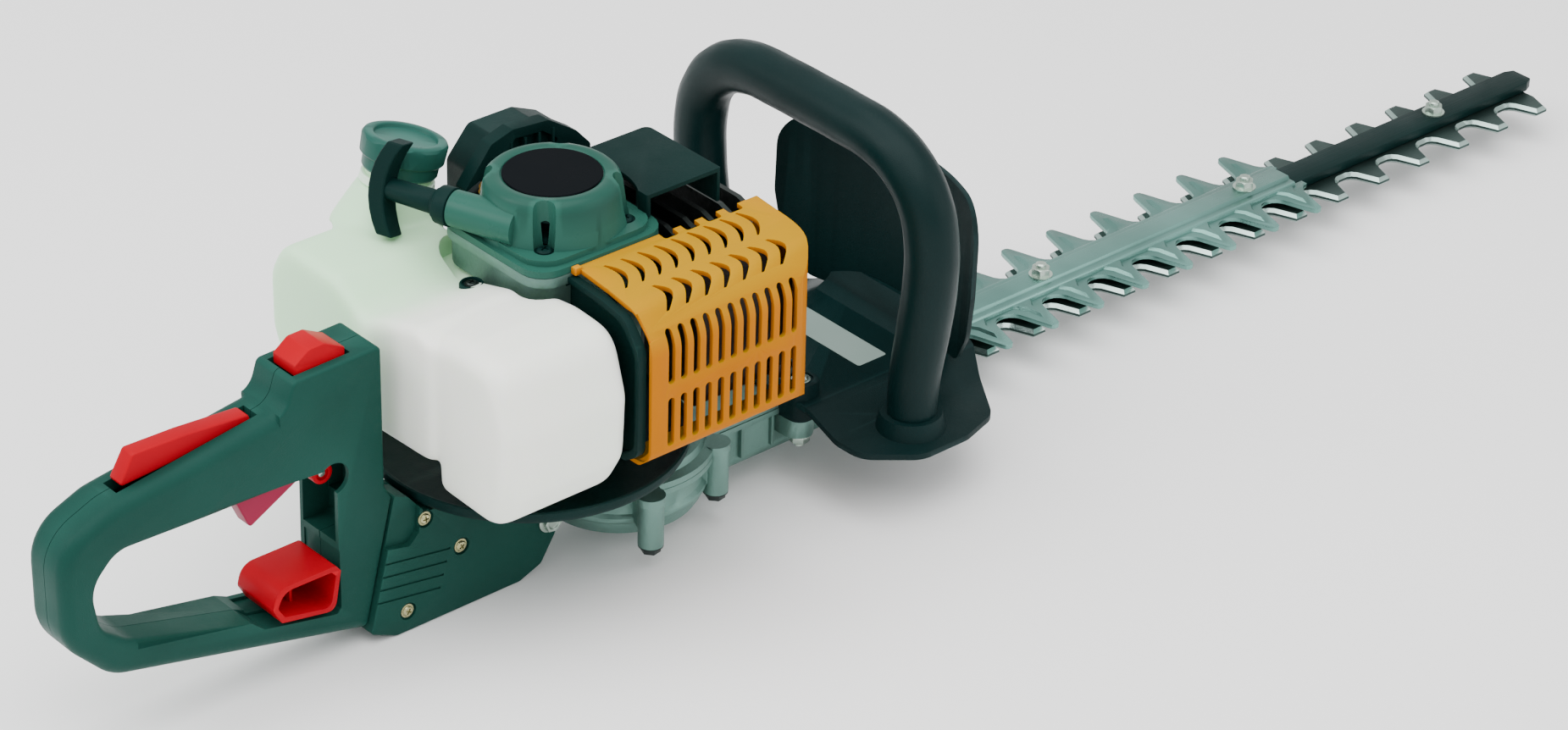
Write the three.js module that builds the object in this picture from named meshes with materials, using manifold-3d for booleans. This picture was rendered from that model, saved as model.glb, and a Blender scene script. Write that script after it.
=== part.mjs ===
// Petrol hedge trimmer: double-sided 500 mm class cutter, 22 cm3 engine with its crankshaft upright,
// loop front handle on a guard plate, and a rear handle that swivels about the length of the machine.
// Millimetres. +X runs along the blades to their tip, +Y is the operator's left, +Z is up.
// The origin is the middle of the whole machine's footprint, on the surface that it rests on.
import * as THREE from 'three';
import * as BufferGeometryUtils from 'three/addons/utils/BufferGeometryUtils.js';
import Module from 'manifold-3d';

const wasm = await Module();
wasm.setup();

// ---------------------------------------------------------------- driving dimensions
const GAP = 0.3; // clearance between pieces that touch
const FAR = 400; // long enough to cut right through anything

const CRANK_X = -224; // upright crankshaft axis, on the centre plane
const GEAR_MODULE = 1.5;
const GEAR_TEETH = 45;
const PINION_TEETH = 12;
const GEAR_X = CRANK_X + (GEAR_MODULE * (GEAR_TEETH + PINION_TEETH)) / 2; // drive gear axis
const BLADE_THROW = 8; // each blade moves this far either way
const ECCENTRIC_R = 10;

const BAR = { rootX: -40, tipX: 529, halfWidth: 9.3, bottom: 24, top: 30 };
const BLADE = {
  pitch: 35, firstTooth: 24, teeth: 15, rootHalf: 13, tipHalf: 30, toothBase: 9.5, toothTip: 4.5,
  thickness: 2.5, upperBottom: 21.1, lowerBottom: 18.3,
};
const TOOTH_GUARD = {
  rootX: 12, tipX: 319, firstTooth: 27, teeth: 9, tipHalf: 40, rootHalf: 14, bottom: 27.5, top: 30,
  capHalf: 12.5, capTop: 32.8, ridgeHalf: 7, ridgeTop: 34.5,
};
const BAR_BOLTS = [
  { name: 'bar_bolt_root', x: 122.5, seat: TOOTH_GUARD.ridgeTop },
  { name: 'bar_bolt_middle', x: 285.5, seat: TOOTH_GUARD.ridgeTop },
  { name: 'bar_bolt_tip', x: 448.5, seat: BAR.top },
];
const BAR_BOLT_R = 3;

const CASE = { split: 42, bulgeR: 44.6, bottom: 12, noseHalf: 22, noseBottom: 14.5, noseX: 2, top: 62 };
const CYLINDER_Z = 141; // axis of the cylinder, which lies along +X
const FAN_HOUSING = { bottom: 165.3, top: 185.5, half: 41.5, corner: 14 };
const STARTER = { bottom: 185.8, flangeTop: 190, top: 217, footR: 38, rimR: 32, badgeR: 25.4 };
const ROPE_R = 30.7; // radius at which the starting rope leaves its reel
const ROPE_Z = 200;
const ROPE_DIR = new THREE.Vector2(-0.335, 0.942).normalize(); // the way the rope is pulled
const GRIP = { reach: 77, bow: 4, halfLong: 23.5, lean: 15 };
const TRAY = { x: -241, r: 83, bottom: 68.5, top: 76 };
const TANK = { rearX: -330, frontX: -250, wall: 3, edge: 11 };
const CAP = { r: 22.5, height: 20, tiltDeg: 15, x: -251, y: 84.2, top: 217.5 };

const PLATE = { top: 51, rim: 40.5, wall: 3.5, humpHalf: 45, slopeEnd: 62, bolts: { x: -84, y: 32 } };
const SHIELD = { x: 10, wall: 3, bottom: 51.3 };
const LOOP = { x: -50, tubeR: 14.7, footHalf: 81, wideHalf: 92.3, axisTop: 199.8, foot: 38 };

const SWIVEL = { x: -346, z: 48, tiltDeg: 14.2 }; // the rear handle turns about this line, nose down
const HANDLE_HALF = 16;
const BRACKET_HALF = 20;

// ---------------------------------------------------------------- finishes
const FINISH = {
  darkPlastic: { color: 0x1e4a40, roughness: 0.45, metalness: 0.0 },
  blackPlastic: { color: 0x14201e, roughness: 0.5, metalness: 0.0 },
  greyPlastic: { color: 0x46736a, roughness: 0.3, metalness: 0.0 },
  redPlastic: { color: 0xd8152b, roughness: 0.35, metalness: 0.0 },
  yellowPlastic: { color: 0xffc000, roughness: 0.35, metalness: 0.0 },
  tankPlastic: { color: 0xeef2df, roughness: 0.4, metalness: 0.0 },
  castAluminium: { color: 0xa8b4ae, roughness: 0.5, metalness: 0.8 },
  stampedAluminium: { color: 0xbfcfc8, roughness: 0.35, metalness: 0.9 },
  bladeSteel: { color: 0x5d6e69, roughness: 0.35, metalness: 0.9 },
  darkSteel: { color: 0x2d4a42, roughness: 0.4, metalness: 0.6 },
  zinc: { color: 0xc9d2cc, roughness: 0.3, metalness: 0.9 },
  foam: { color: 0x2a2a2a, roughness: 0.95, metalness: 0.0 },
  badge: { color: 0x050607, roughness: 0.3, metalness: 0.0 },
  rubber: { color: 0x101312, roughness: 0.8, metalness: 0.0 },
  rope: { color: 0xe8e4d8, roughness: 0.9, metalness: 0.0 },
};

// ---------------------------------------------------------------- solids
function solid(geometry) {
  const bare = geometry.clone();
  bare.deleteAttribute('normal');
  bare.deleteAttribute('uv');
  const merged = BufferGeometryUtils.mergeVertices(bare, 1e-4);
  const kept = [];
  const corners = merged.index.array;
  for (let i = 0; i < corners.length; i += 3) {
    const [a, b, c] = corners.slice(i, i + 3);
    if (a !== b && b !== c && c !== a) kept.push(a, b, c);
  }
  return new wasm.Manifold(new wasm.Mesh({
    numProp: 3,
    vertProperties: new Float32Array(merged.attributes.position.array),
    triVerts: new Uint32Array(kept),
  }));
}

function geometryOf(body) {
  const data = body.getMesh();
  const geometry = new THREE.BufferGeometry();
  geometry.setAttribute('position', new THREE.BufferAttribute(data.vertProperties, 3));
  geometry.setIndex(new THREE.BufferAttribute(data.triVerts, 1));
  geometry.computeVertexNormals();
  return geometry;
}

const join = (...bodies) => bodies.reduce((all, next) => all.add(next));
const cut = (body, ...tools) => tools.reduce((rest, tool) => rest.subtract(tool), body);

function mesh(name, finish, body) {
  const part = new THREE.Mesh(geometryOf(body), new THREE.MeshStandardMaterial(FINISH[finish]));
  part.name = name;
  return part;
}

function box(x, y, z) {
  const geometry = new THREE.BoxGeometry(x[1] - x[0], y[1] - y[0], z[1] - z[0]);
  geometry.translate((x[0] + x[1]) / 2, (y[0] + y[1]) / 2, (z[0] + z[1]) / 2);
  return solid(geometry);
}

// A round bar between two points, or a cone where the radii differ.
function rod(from, to, r0, r1 = r0, sides = 12) {
  const a = new THREE.Vector3(...from);
  const b = new THREE.Vector3(...to);
  const along = b.clone().sub(a);
  const geometry = new THREE.CylinderGeometry(r1, r0, along.length(), sides);
  geometry.applyQuaternion(
    new THREE.Quaternion().setFromUnitVectors(new THREE.Vector3(0, 1, 0), along.normalize()));
  geometry.translate((a.x + b.x) / 2, (a.y + b.y) / 2, (a.z + b.z) / 2);
  return solid(geometry);
}

const upright = (x, y, z, r, sides = 16) => rod([x, y, z[0]], [x, y, z[1]], r, r, sides);

// Prisms of an outline: in plan (XY), in side view (XZ) and in end view (YZ).
function outline(points) {
  return new THREE.Shape(points.map(([u, v]) => new THREE.Vector2(u, v)));
}

function planPrism(shape, z, curveSegments = 6) {
  const geometry = new THREE.ExtrudeGeometry(shape, { depth: z[1] - z[0], bevelEnabled: false,
    curveSegments });
  geometry.translate(0, 0, z[0]);
  return solid(geometry);
}

function sidePrism(shape, y, curveSegments = 6) {
  const geometry = new THREE.ExtrudeGeometry(shape, { depth: y[1] - y[0], bevelEnabled: false,
    curveSegments });
  geometry.rotateX(Math.PI / 2);
  geometry.translate(0, y[1], 0);
  return solid(geometry);
}

function endPrism(shape, x, curveSegments = 6) {
  const geometry = new THREE.ExtrudeGeometry(shape, { depth: x[1] - x[0], bevelEnabled: false,
    curveSegments });
  geometry.rotateX(Math.PI / 2);
  geometry.rotateZ(Math.PI / 2);
  geometry.translate(x[0], 0, 0);
  return solid(geometry);
}

// A closed polygon with each corner rounded: points are [u, v, radius].
function rounded(points) {
  const shape = new THREE.Shape();
  const count = points.length;
  points.forEach(([u, v, radius = 0], i) => {
    const corner = new THREE.Vector2(u, v);
    const before = new THREE.Vector2(...points[(i + count - 1) % count].slice(0, 2));
    const after = new THREE.Vector2(...points[(i + 1) % count].slice(0, 2));
    const inDir = before.clone().sub(corner).normalize();
    const outDir = after.clone().sub(corner).normalize();
    const half = Math.acos(THREE.MathUtils.clamp(inDir.dot(outDir), -1, 1)) / 2;
    const reach = radius > 0 ? radius / Math.tan(half) : 0;
    const start = corner.clone().addScaledVector(inDir, reach);
    const end = corner.clone().addScaledVector(outDir, reach);
    if (i === 0) shape.moveTo(start.x, start.y);
    else shape.lineTo(start.x, start.y);
    if (radius > 0) shape.quadraticCurveTo(corner.x, corner.y, end.x, end.y);
  });
  shape.closePath();
  return shape;
}

function roundedRect(x, y, radius) {
  return rounded([
    [x[0], y[0], radius], [x[1], y[0], radius], [x[1], y[1], radius], [x[0], y[1], radius]]);
}

// A solid of revolution about an upright axis: profile is [r, z] from the axis round and back to it.
function turned(x, y, profile, sides = 24) {
  const geometry = new THREE.LatheGeometry(profile.map(([r, z]) => new THREE.Vector2(r, z)), sides);
  geometry.rotateX(Math.PI / 2);
  geometry.translate(x, y, 0);
  return solid(geometry);
}

// A toothed wheel with straight-sided teeth, and some backlash.
function toothedWheel(teeth, z, turn) {
  const pitchR = (GEAR_MODULE * teeth) / 2;
  const step = (2 * Math.PI) / teeth;
  const points = [];
  for (let i = 0; i < teeth; i += 1) {
    const middle = turn + i * step;
    for (const [r, part] of [[pitchR - 1.9, -0.3], [pitchR + 1.2, -0.11], [pitchR + 1.2, 0.11],
      [pitchR - 1.9, 0.3]]) {
      const angle = middle + part * step;
      points.push([r * Math.cos(angle), r * Math.sin(angle)]);
    }
  }
  return planPrism(outline(points), z);
}

function ropePoint(distance) {
  const square = new THREE.Vector2(-ROPE_DIR.y, ROPE_DIR.x);
  const start = new THREE.Vector2(CRANK_X, 0).addScaledVector(square, ROPE_R);
  const spot = start.addScaledVector(ROPE_DIR, distance);
  return [spot.x, spot.y, ROPE_Z];
}

// ---------------------------------------------------------------- cutter
// Teeth on both sides of a flat strip. A tooth is a list of [along, out] from its own centre line.
function combOutline(x, rootHalf, centres, tooth) {
  const near = centres.flatMap((c) => tooth.map(([along, out]) => [c + along, -out]));
  const far = near.map(([u, v]) => [u, -v]).reverse();
  return outline([[x[0], -rootHalf], ...near, [x[1], -rootHalf], [x[1], rootHalf], ...far,
    [x[0], rootHalf]]);
}

function boltSlots(z, reach) {
  return BAR_BOLTS.map(({ x }) => planPrism(
    roundedRect([x - reach - BAR_BOLT_R, x + reach + BAR_BOLT_R],
      [-BAR_BOLT_R - 0.5, BAR_BOLT_R + 0.5], 2), z, 3));
}

function blade(name, bottom, tailX) {
  const z = [bottom, bottom + BLADE.thickness];
  const centres = Array.from({ length: BLADE.teeth }, (_, i) => BLADE.firstTooth + i * BLADE.pitch);
  const tooth = [
    [-BLADE.toothBase, BLADE.rootHalf], [-BLADE.toothTip, BLADE.tipHalf],
    [BLADE.toothTip, BLADE.tipHalf], [BLADE.toothBase, BLADE.rootHalf]];
  const lastX = BLADE.firstTooth + (BLADE.teeth - 1) * BLADE.pitch + BLADE.toothBase;
  const comb = planPrism(combOutline([0, lastX + 0.5], BLADE.rootHalf, centres, tooth), z);
  const tail = box([tailX, 1], [-9, 9], z);
  const pinHole = upright(tailX + 8, 0, [z[0] - 1, z[1] + 1], 3.3, 12);
  return mesh(name, 'bladeSteel', cut(join(comb, tail), ...boltSlots([z[0] - 1, z[1] + 1],
    BLADE_THROW + 0.8), pinHole));
}

// The strap between an eccentric and a blade. Its big end is left open, clear of the eccentric's sweep.
function bladeRod(name, x, z, pinZ) {
  const strap = box(x, [-6.5, 6.5], z);
  const openEye = upright(GEAR_X, 0, [z[0] - 1, z[1] + 1], ECCENTRIC_R + 2 * BLADE_THROW + 1, 18);
  const pin = upright(x[1] - 6, 0, pinZ, 3, 12);
  return mesh(name, 'darkSteel', join(cut(strap, openEye), pin));
}

function guideBar() {
  const tip = 6;
  const shape = outline([
    [BAR.rootX, -BAR.halfWidth], [BAR.tipX - tip, -BAR.halfWidth], [BAR.tipX, -BAR.halfWidth + 2],
    [BAR.tipX, BAR.halfWidth - 2], [BAR.tipX - tip, BAR.halfWidth], [BAR.rootX, BAR.halfWidth]]);
  const holes = BAR_BOLTS.map(({ x }) => upright(x, 0, [0, 60], BAR_BOLT_R + GAP, 12));
  return mesh('guide_bar', 'darkSteel', cut(planPrism(shape, [BAR.bottom, BAR.top]), ...holes));
}

function toothGuard() {
  const g = TOOTH_GUARD;
  const centres = Array.from({ length: g.teeth }, (_, i) => g.firstTooth + i * BLADE.pitch);
  const half = [[9, 20], [3.2, 38], [1.6, 40]];
  const tooth = [
    [-14.5, g.rootHalf], ...half.map(([u, v]) => [-u, v]), ...half.map(([u, v]) => [u, v]).reverse(),
    [14.5, g.rootHalf]];
  const comb = planPrism(combOutline([g.rootX - 2, g.tipX + 5], g.rootHalf, centres, tooth),
    [g.bottom, g.top]);
  const cap = box([g.rootX, g.tipX], [-g.capHalf, g.capHalf], [g.bottom, g.capTop]);
  const ridge = box([g.rootX, g.tipX - 4], [-g.ridgeHalf, g.ridgeHalf], [g.top, g.ridgeTop]);
  const channel = box([-FAR, FAR], [-BAR.halfWidth - 0.4, BAR.halfWidth + 0.4], [0, BAR.top + GAP]);
  const holes = BAR_BOLTS.map(({ x }) => upright(x, 0, [0, 60], BAR_BOLT_R + GAP, 12));
  return mesh('tooth_guard', 'stampedAluminium', cut(join(comb, cap, ridge), channel, ...holes));
}

// A through bolt with its round head under the blades and a hexagon nut on top.
function barBolt({ name, x, seat }) {
  const headTop = BLADE.lowerBottom - GAP;
  const nutBottom = seat + GAP;
  return mesh(name, 'zinc', join(
    upright(x, 0, [headTop - 4, headTop], 6.5, 12),
    upright(x, 0, [headTop - 1, nutBottom + 7.5], BAR_BOLT_R, 12),
    upright(x, 0, [nutBottom, nutBottom + 5.5], 5.8, 6)));
}

function cutter() {
  const group = new THREE.Group();
  const upperTail = -80;
  const lowerTail = -112;
  const upperTop = BLADE.upperBottom + BLADE.thickness;
  const lowerTop = BLADE.lowerBottom + BLADE.thickness;
  const rodRear = GEAR_X + ECCENTRIC_R + BLADE_THROW;
  group.add(
    guideBar(),
    toothGuard(),
    blade('upper_blade', BLADE.upperBottom, upperTail),
    blade('lower_blade', BLADE.lowerBottom, lowerTail),
    bladeRod('upper_blade_rod', [rodRear, upperTail + 14], [upperTop + 0.4, upperTop + 2.9],
      [BLADE.upperBottom, upperTop + 2]),
    bladeRod('lower_blade_rod', [rodRear, lowerTail + 14], [lowerTop + GAP, lowerTop + 2.7],
      [BLADE.lowerBottom, lowerTop + 2]),
    ...BAR_BOLTS.map(barBolt));
  return group;
}

// ---------------------------------------------------------------- gear case and clutch
const CASE_SCREWS = [[-204, 54], [-145, 35.5]]; // and the same on the other side

function caseBosses(z, r) {
  return CASE_SCREWS.flatMap(([x, y]) => [y, -y].map((side) => upright(x, side, z, r, 12)));
}

function plateLugs(z) {
  const { x, y } = PLATE.bolts;
  const lug = (side) => cut(
    box([x - 8, x + 8], side > 0 ? [20, y + 8] : [-y - 8, -20], z),
    upright(x, side * y, [0, 60], 3.4, 12));
  return [lug(1), lug(-1)];
}

function gearCaseLower() {
  const top = CASE.split - 0.2;
  const shell = join(
    upright(GEAR_X, 0, [CASE.bottom, top], CASE.bulgeR, 24),
    upright(CRANK_X, 0, [26, top], 17, 18),
    upright(GEAR_X, 0, [top - 3.6, top], 51, 24),
    upright(-204, 54, [top - 3.6, top], 9, 12), upright(-204, -54, [top - 3.6, top], 9, 12),
    box([-215, -193], [-56, 56], [top - 16, top]),
    box([-152, -138], [-37, 37], [top - 16, top]),
    box([GEAR_X, CASE.noseX], [-CASE.noseHalf, CASE.noseHalf], [CASE.noseBottom, top]),
    box([-262, CRANK_X], [-13.7, 13.7], [20, top]),
    ...caseBosses([17, top], 6.5),
    ...plateLugs([27, 38]));
  return mesh('gear_case_lower', 'castAluminium', cut(
    shell,
    upright(GEAR_X, 0, [15.5, CASE.top], 40.4, 24),
    box([GEAR_X, FAR], [-17, 17], [17, CASE.top]),
    upright(CRANK_X, 0, [29, CASE.top], 14, 24),
    rod([-243, -40, 30], [-243, 40, 30], 4.4, 4.4, 12)));
}

function gearCaseUpper() {
  const z = [CASE.split + 0.1, CASE.top];
  const shell = join(
    upright(GEAR_X, 0, [z[0], 52], CASE.bulgeR, 24),
    upright(CRANK_X, 0, z, 40, 24),
    upright(GEAR_X, 0, [z[0], z[0] + 3.5], 51, 24),
    ...caseBosses([z[0], z[0] + 5], 8),
    box([-215, -193], [-56, 56], [z[0], z[0] + 3.5]),
    box([GEAR_X, CASE.noseX], [-CASE.noseHalf, CASE.noseHalf], [z[0], 46]),
    box([-38, CASE.noseX], [-16.6, 16.6], [BAR.top + GAP, z[0] + 1]));
  return mesh('gear_case_upper', 'castAluminium', cut(
    shell,
    upright(CRANK_X, 0, [45, FAR], 33, 24),
    upright(CRANK_X, 0, [30, 60], 12, 24),
    upright(GEAR_X, 0, [30, 48], 7.3, 18)));
}

function driveGear() {
  const eccentric = (side, z) => upright(GEAR_X, side * BLADE_THROW, z, ECCENTRIC_R, 24);
  const toothed = toothedWheel(GEAR_TEETH, [29.5, 37.5], 0).translate([GEAR_X, 0, 0]);
  return mesh('drive_gear', 'darkSteel', join(
    toothed,
    upright(GEAR_X, 0, [16.2, 46], 7, 18),
    eccentric(1, [BLADE.upperBottom + BLADE.thickness + 0.4, 29.8]),
    eccentric(-1, [BLADE.lowerBottom, BLADE.upperBottom + BLADE.thickness + 0.6])));
}

function clutchDrum() {
  const cup = turned(CRANK_X, 0, [[0, 45.6], [30, 45.6], [30, 60], [27.5, 60], [27.5, 48.2], [0, 48.2]]);
  const pinion = toothedWheel(PINION_TEETH, [30, 46], 0).translate([CRANK_X, 0, 0]);
  return mesh('clutch_drum', 'darkSteel', join(cup, pinion));
}

function clutchShoe(name, side) {
  const ring = cut(upright(CRANK_X, 0, [49, 59], 26.6, 18), upright(CRANK_X, 0, [40, 70], 9.5, 18));
  const half = box(side > 0 ? [CRANK_X + 1.5, 0] : [-FAR, CRANK_X - 1.5], [-FAR, FAR], [40, 70]);
  return mesh(name, 'darkSteel', ring.intersect(half));
}

// ---------------------------------------------------------------- engine
const PISTON_THROW = 15;
const WEBS = [[120, 126], [138, 144]];

function crankshaft() {
  const pin = upright(CRANK_X, PISTON_THROW, [WEBS[0][0], WEBS[1][1]], 4, 14);
  const mainJournals = cut(upright(CRANK_X, 0, [49, 189.5], 6, 18),
    upright(CRANK_X, 0, [WEBS[0][1], WEBS[1][0]], 7, 18));
  return mesh('crankshaft', 'darkSteel', join(
    mainJournals, pin, ...WEBS.map((z) => upright(CRANK_X, 0, z, 23, 18)),
      upright(CRANK_X, 0, [49, 59], 9.1, 18)));
}

function flywheel() {
  const disc = upright(CRANK_X, 0, [168, 173], 34, 24);
  const fins = Array.from({ length: 10 }, (_, i) => {
    const angle = (i * Math.PI) / 5;
    const reach = (r) => [CRANK_X + r * Math.cos(angle), r * Math.sin(angle)];
    return rod([...reach(14), 176.5], [...reach(32), 176.5], 3.6, 3.6, 4);
  });
  const hub = upright(CRANK_X, 0, [168, 184], 13, 18);
  return mesh('flywheel', 'castAluminium', cut(join(disc, hub, ...fins),
    upright(CRANK_X, 0, [100, 200], 6 + GAP, 18)));
}

function crankcase() {
  const barrel = upright(CRANK_X, 0, [CASE.top + GAP, FAN_HOUSING.bottom - GAP], 34, 24);
  const neck = box([CRANK_X, CRANK_X + 36], [-26, 26], [CYLINDER_Z - 26, CYLINDER_Z + 18]);
  const foot = upright(CRANK_X, 0, [CASE.top + GAP, 68], 40, 24);
  return mesh('crankcase', 'castAluminium', cut(
    join(barrel, neck, foot),
    upright(CRANK_X, 0, [WEBS[0][0] - 2, WEBS[1][1] + 2], 25, 18),
    upright(CRANK_X, 0, [0, FAR], 6.6, 18),
    upright(CRANK_X, 0, [60, 70], 20, 24),
    rod([CRANK_X, 0, 132], [CRANK_X + 50, 0, 132], 13, 13, 18)));
}

function cylinder() {
  const rear = CRANK_X + 36.3;
  const front = CRANK_X + 104;
  const axis = [0, CYLINDER_Z - 9];
  const barrel = rod([rear, ...axis], [front, ...axis], 24, 24, 24);
  const flange = box([rear, rear + 5], [-26, 26], [CYLINDER_Z - 26, CYLINDER_Z + 18]);
  const fins = Array.from({ length: 5 }, (_, i) => {
    const x = rear + 13 + i * 12;
    return endPrism(roundedRect([-37, 37], [CYLINDER_Z - 44, CYLINDER_Z + 40], 10), [x, x + 3], 2);
  });
  const bore = rod([rear - 5, ...axis], [front - 8, ...axis], 18.5, 18.5, 24);
  const plugHole = rod([front - 20, ...axis], [front + 5, ...axis], 6.4, 6.4, 14);
  return mesh('cylinder', 'castAluminium', cut(join(barrel, flange, ...fins), bore, plugHole));
}

// The piston with its connecting rod. The rod's big end is left open, clear of the crank pin's sweep.
function piston() {
  const middle = CRANK_X + 68;
  const axis = [0, CYLINDER_Z - 9];
  const crown = rod([middle - 12, ...axis], [middle + 10, ...axis], 18, 18, 24);
  const hollow = rod([middle - 20, ...axis], [middle + 5, ...axis], 14.5, 14.5, 24);
  const rodEnd = CRANK_X + PISTON_THROW * 2 + 5;
  return mesh('piston', 'castAluminium', join(
    cut(crown, hollow), box([rodEnd, middle + 6], [-4, 4], [CYLINDER_Z - 13, CYLINDER_Z - 5])));
}

function sparkPlug() {
  const front = CRANK_X + 104;
  const axis = [0, CYLINDER_Z - 9];
  return mesh('spark_plug', 'zinc', join(
    rod([front - 10.4, ...axis], [front + 2, ...axis], 6, 6, 14),
    rod([front + GAP, ...axis], [front + 7, ...axis], 9, 9, 6),
    rod([front + 6, ...axis], [front + 15, ...axis], 4.5, 4.5, 12)));
}

function sparkPlugBoot() {
  const front = CRANK_X + 104;
  const axis = [0, CYLINDER_Z - 9];
  return mesh('spark_plug_boot', 'rubber', cut(
    join(
      rod([front + 8, ...axis], [front + 24, ...axis], 8, 8, 14),
      rod([front + 17, 0, CYLINDER_Z - 9], [front + 17, 0, CYLINDER_Z + 14], 5, 4, 12)),
    rod([front, ...axis], [front + 16, ...axis], 4.8, 4.8, 12)));
}

function ignitionCoil() {
  return mesh('ignition_coil', 'blackPlastic', box([CRANK_X + 37, CRANK_X + 48], [-14, 14], [165.5, 176]));
}

function fanHousing() {
  const { bottom, top, half, corner } = FAN_HOUSING;
  const shape = roundedRect([CRANK_X - half, CRANK_X + half], [-half, half], corner);
  const coilBay = box([CRANK_X + 35.5, CRANK_X + 60], [-16, 16], [165, 178]);
  return mesh('fan_housing', 'castAluminium', cut(
    planPrism(shape, [bottom, top], 5),
    upright(CRANK_X, 0, [bottom + 2, FAR], 36.5, 24),
    upright(CRANK_X, 0, [bottom - 5, FAR], 8, 18),
    coilBay));
}

function cylinderCover() {
  const x = [-188, -139];
  const wall = 2.4;
  const top = 203;
  const bottom = 188;
  const outer = join(
    planPrism(roundedRect(x, [-29, 29], 3), [bottom, top], 2),
    box([x[1] - 3, x[1]], [-29, 29], [CYLINDER_Z + 41, top - 2]),
    box([x[0] + 8, x[1]], [29 - wall, 29], [CYLINDER_Z + 41, top - 2]));
  const inner = box([x[0] + wall, x[1] - wall], [-FAR, 29 - wall], [0, top - wall]);
  const starterRelief = upright(CRANK_X, 0, [0, FAR], STARTER.footR + 4.5, 24);
  const flangeRelief = box([x[0] - 1, CRANK_X + FAN_HOUSING.half + GAP], [-FAR, FAR],
    [0, STARTER.flangeTop + GAP]);
  return mesh('cylinder_cover', 'blackPlastic', cut(outer, inner, starterRelief, flangeRelief));
}

// ---------------------------------------------------------------- recoil starter
function starterHousing() {
  const { bottom, flangeTop, top, footR, rimR, badgeR } = STARTER;
  const half = FAN_HOUSING.half;
  const flange = planPrism(
    roundedRect([CRANK_X - half, CRANK_X + half], [-half, half], FAN_HOUSING.corner),
      [bottom, flangeTop], 5);
  const dome = turned(CRANK_X, 0, [
    [0, bottom], [footR, bottom], [footR, flangeTop], [rimR + 3.2, top - 7], [rimR + 1.6, top - 2.4],
    [rimR - 1, top], [badgeR + GAP, top], [badgeR + GAP, top - 1.2], [0, top - 1.2]], 24);
  const outletBoss = rod(ropePoint(2), ropePoint(38), 10, 9, 18);
  const room = turned(CRANK_X, 0, [[0, bottom - 5], [31, bottom - 5], [31, 205], [26, top - 4],
    [0, top - 4]], 24);
  const post = upright(CRANK_X, 0, [192, top - 3], 5, 14);
  const ropeWay = rod(ropePoint(-4), ropePoint(60), 4.2, 4.2, 12);
  return mesh('starter_housing', 'greyPlastic', join(cut(join(flange, dome, outletBoss), room,
    ropeWay), post));
}

function starterBadge() {
  const z = [STARTER.top - 1.1 + GAP, STARTER.top - 0.1];
  return mesh('starter_badge', 'badge', upright(CRANK_X, 0, z, STARTER.badgeR, 24));
}

function starterReel() {
  const profile = [
    [5.4, 192], [29, 192], [29, 194], [20, 195.5], [20, 202], [29, 203.5], [29, 205], [5.4, 205],
      [5.4, 192]];
  return mesh('starter_reel', 'blackPlastic', turned(CRANK_X, 0, profile, 18));
}

function ropeGuide() {
  return mesh('rope_guide', 'blackPlastic', cut(
    rod(ropePoint(38.4), ropePoint(48), 9.6, 9, 18), rod(ropePoint(30), ropePoint(60), 3.4, 3.4, 12)));
}

function starterRope() {
  return mesh('starter_rope', 'rope', rod(ropePoint(9), ropePoint(60), 1.8, 1.8, 10));
}

// The T grip: a round stem on the rope, and a bowed bar that two fingers hold on each side of the stem.
function starterGrip() {
  const { reach, bow, halfLong, lean } = GRIP;
  const spine = new THREE.QuadraticBezierCurve3(
    new THREE.Vector3(-bow, 0, -halfLong), new THREE.Vector3(bow, 0, 0),
      new THREE.Vector3(-bow, 0, halfLong));
  const section = rounded([[-4.5, -6, 2.5], [4.5, -6, 2.5], [4.5, 6, 2.5], [-4.5, 6, 2.5]]);
  const bar = new THREE.ExtrudeGeometry(section, { extrudePath: spine, steps: 8, curveSegments: 2 });
  bar.rotateX(-THREE.MathUtils.degToRad(lean));
  bar.rotateZ(Math.atan2(ROPE_DIR.y, ROPE_DIR.x));
  const [x, y, z] = ropePoint(reach);
  bar.translate(x, y, z + 1);
  const stem = rod(ropePoint(48.6), ropePoint(reach), 6.6, 5.8, 14);
  return mesh('starter_grip', 'blackPlastic', cut(
    join(solid(bar), stem), rod(ropePoint(40), ropePoint(66), 2.3, 2.3, 12)));
}

// ---------------------------------------------------------------- fuel and intake
const TANK_OUTLINE = [
  [-97, 143, 14], [-95, 108, 14], [-83, 86, 14], [-20, 86, 12], [-10, 100, 8], [80, 100, 18], [97, 118, 16],
  [97, 158, 18], [86, 175.5, 14], [44, 173.5, 10], [32, 168, 6], [22, 158, 3], [8, 166, 6], [-20, 176, 12],
  [-84, 179, 16]];

function tankBody(inset) {
  const middle = 138;
  const section = TANK_OUTLINE.map(([u, v, r]) => {
    const out = new THREE.Vector2(u, v - middle);
    out.setLength(out.length() - inset);
    return [out.x, middle + out.y, r];
  });
  const x = [TANK.rearX + inset, TANK.frontX - inset];
  const wide = [-FAR, FAR];
  return endPrism(rounded(section), x, 3)
    .intersect(planPrism(roundedRect(x, [-97 + inset, 97 - inset], TANK.edge + 7), wide, 4))
    .intersect(sidePrism(roundedRect(x, [86 + inset, 187 - inset], TANK.edge), wide, 4));
}

// Points on the filler's tilted centre line, measured down from the top of the cap.
function fillerPoint(depth) {
  const tilt = THREE.MathUtils.degToRad(CAP.tiltDeg);
  return [CAP.x - depth * Math.sin(tilt), CAP.y, CAP.top - 5.8 - depth * Math.cos(tilt)];
}

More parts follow.
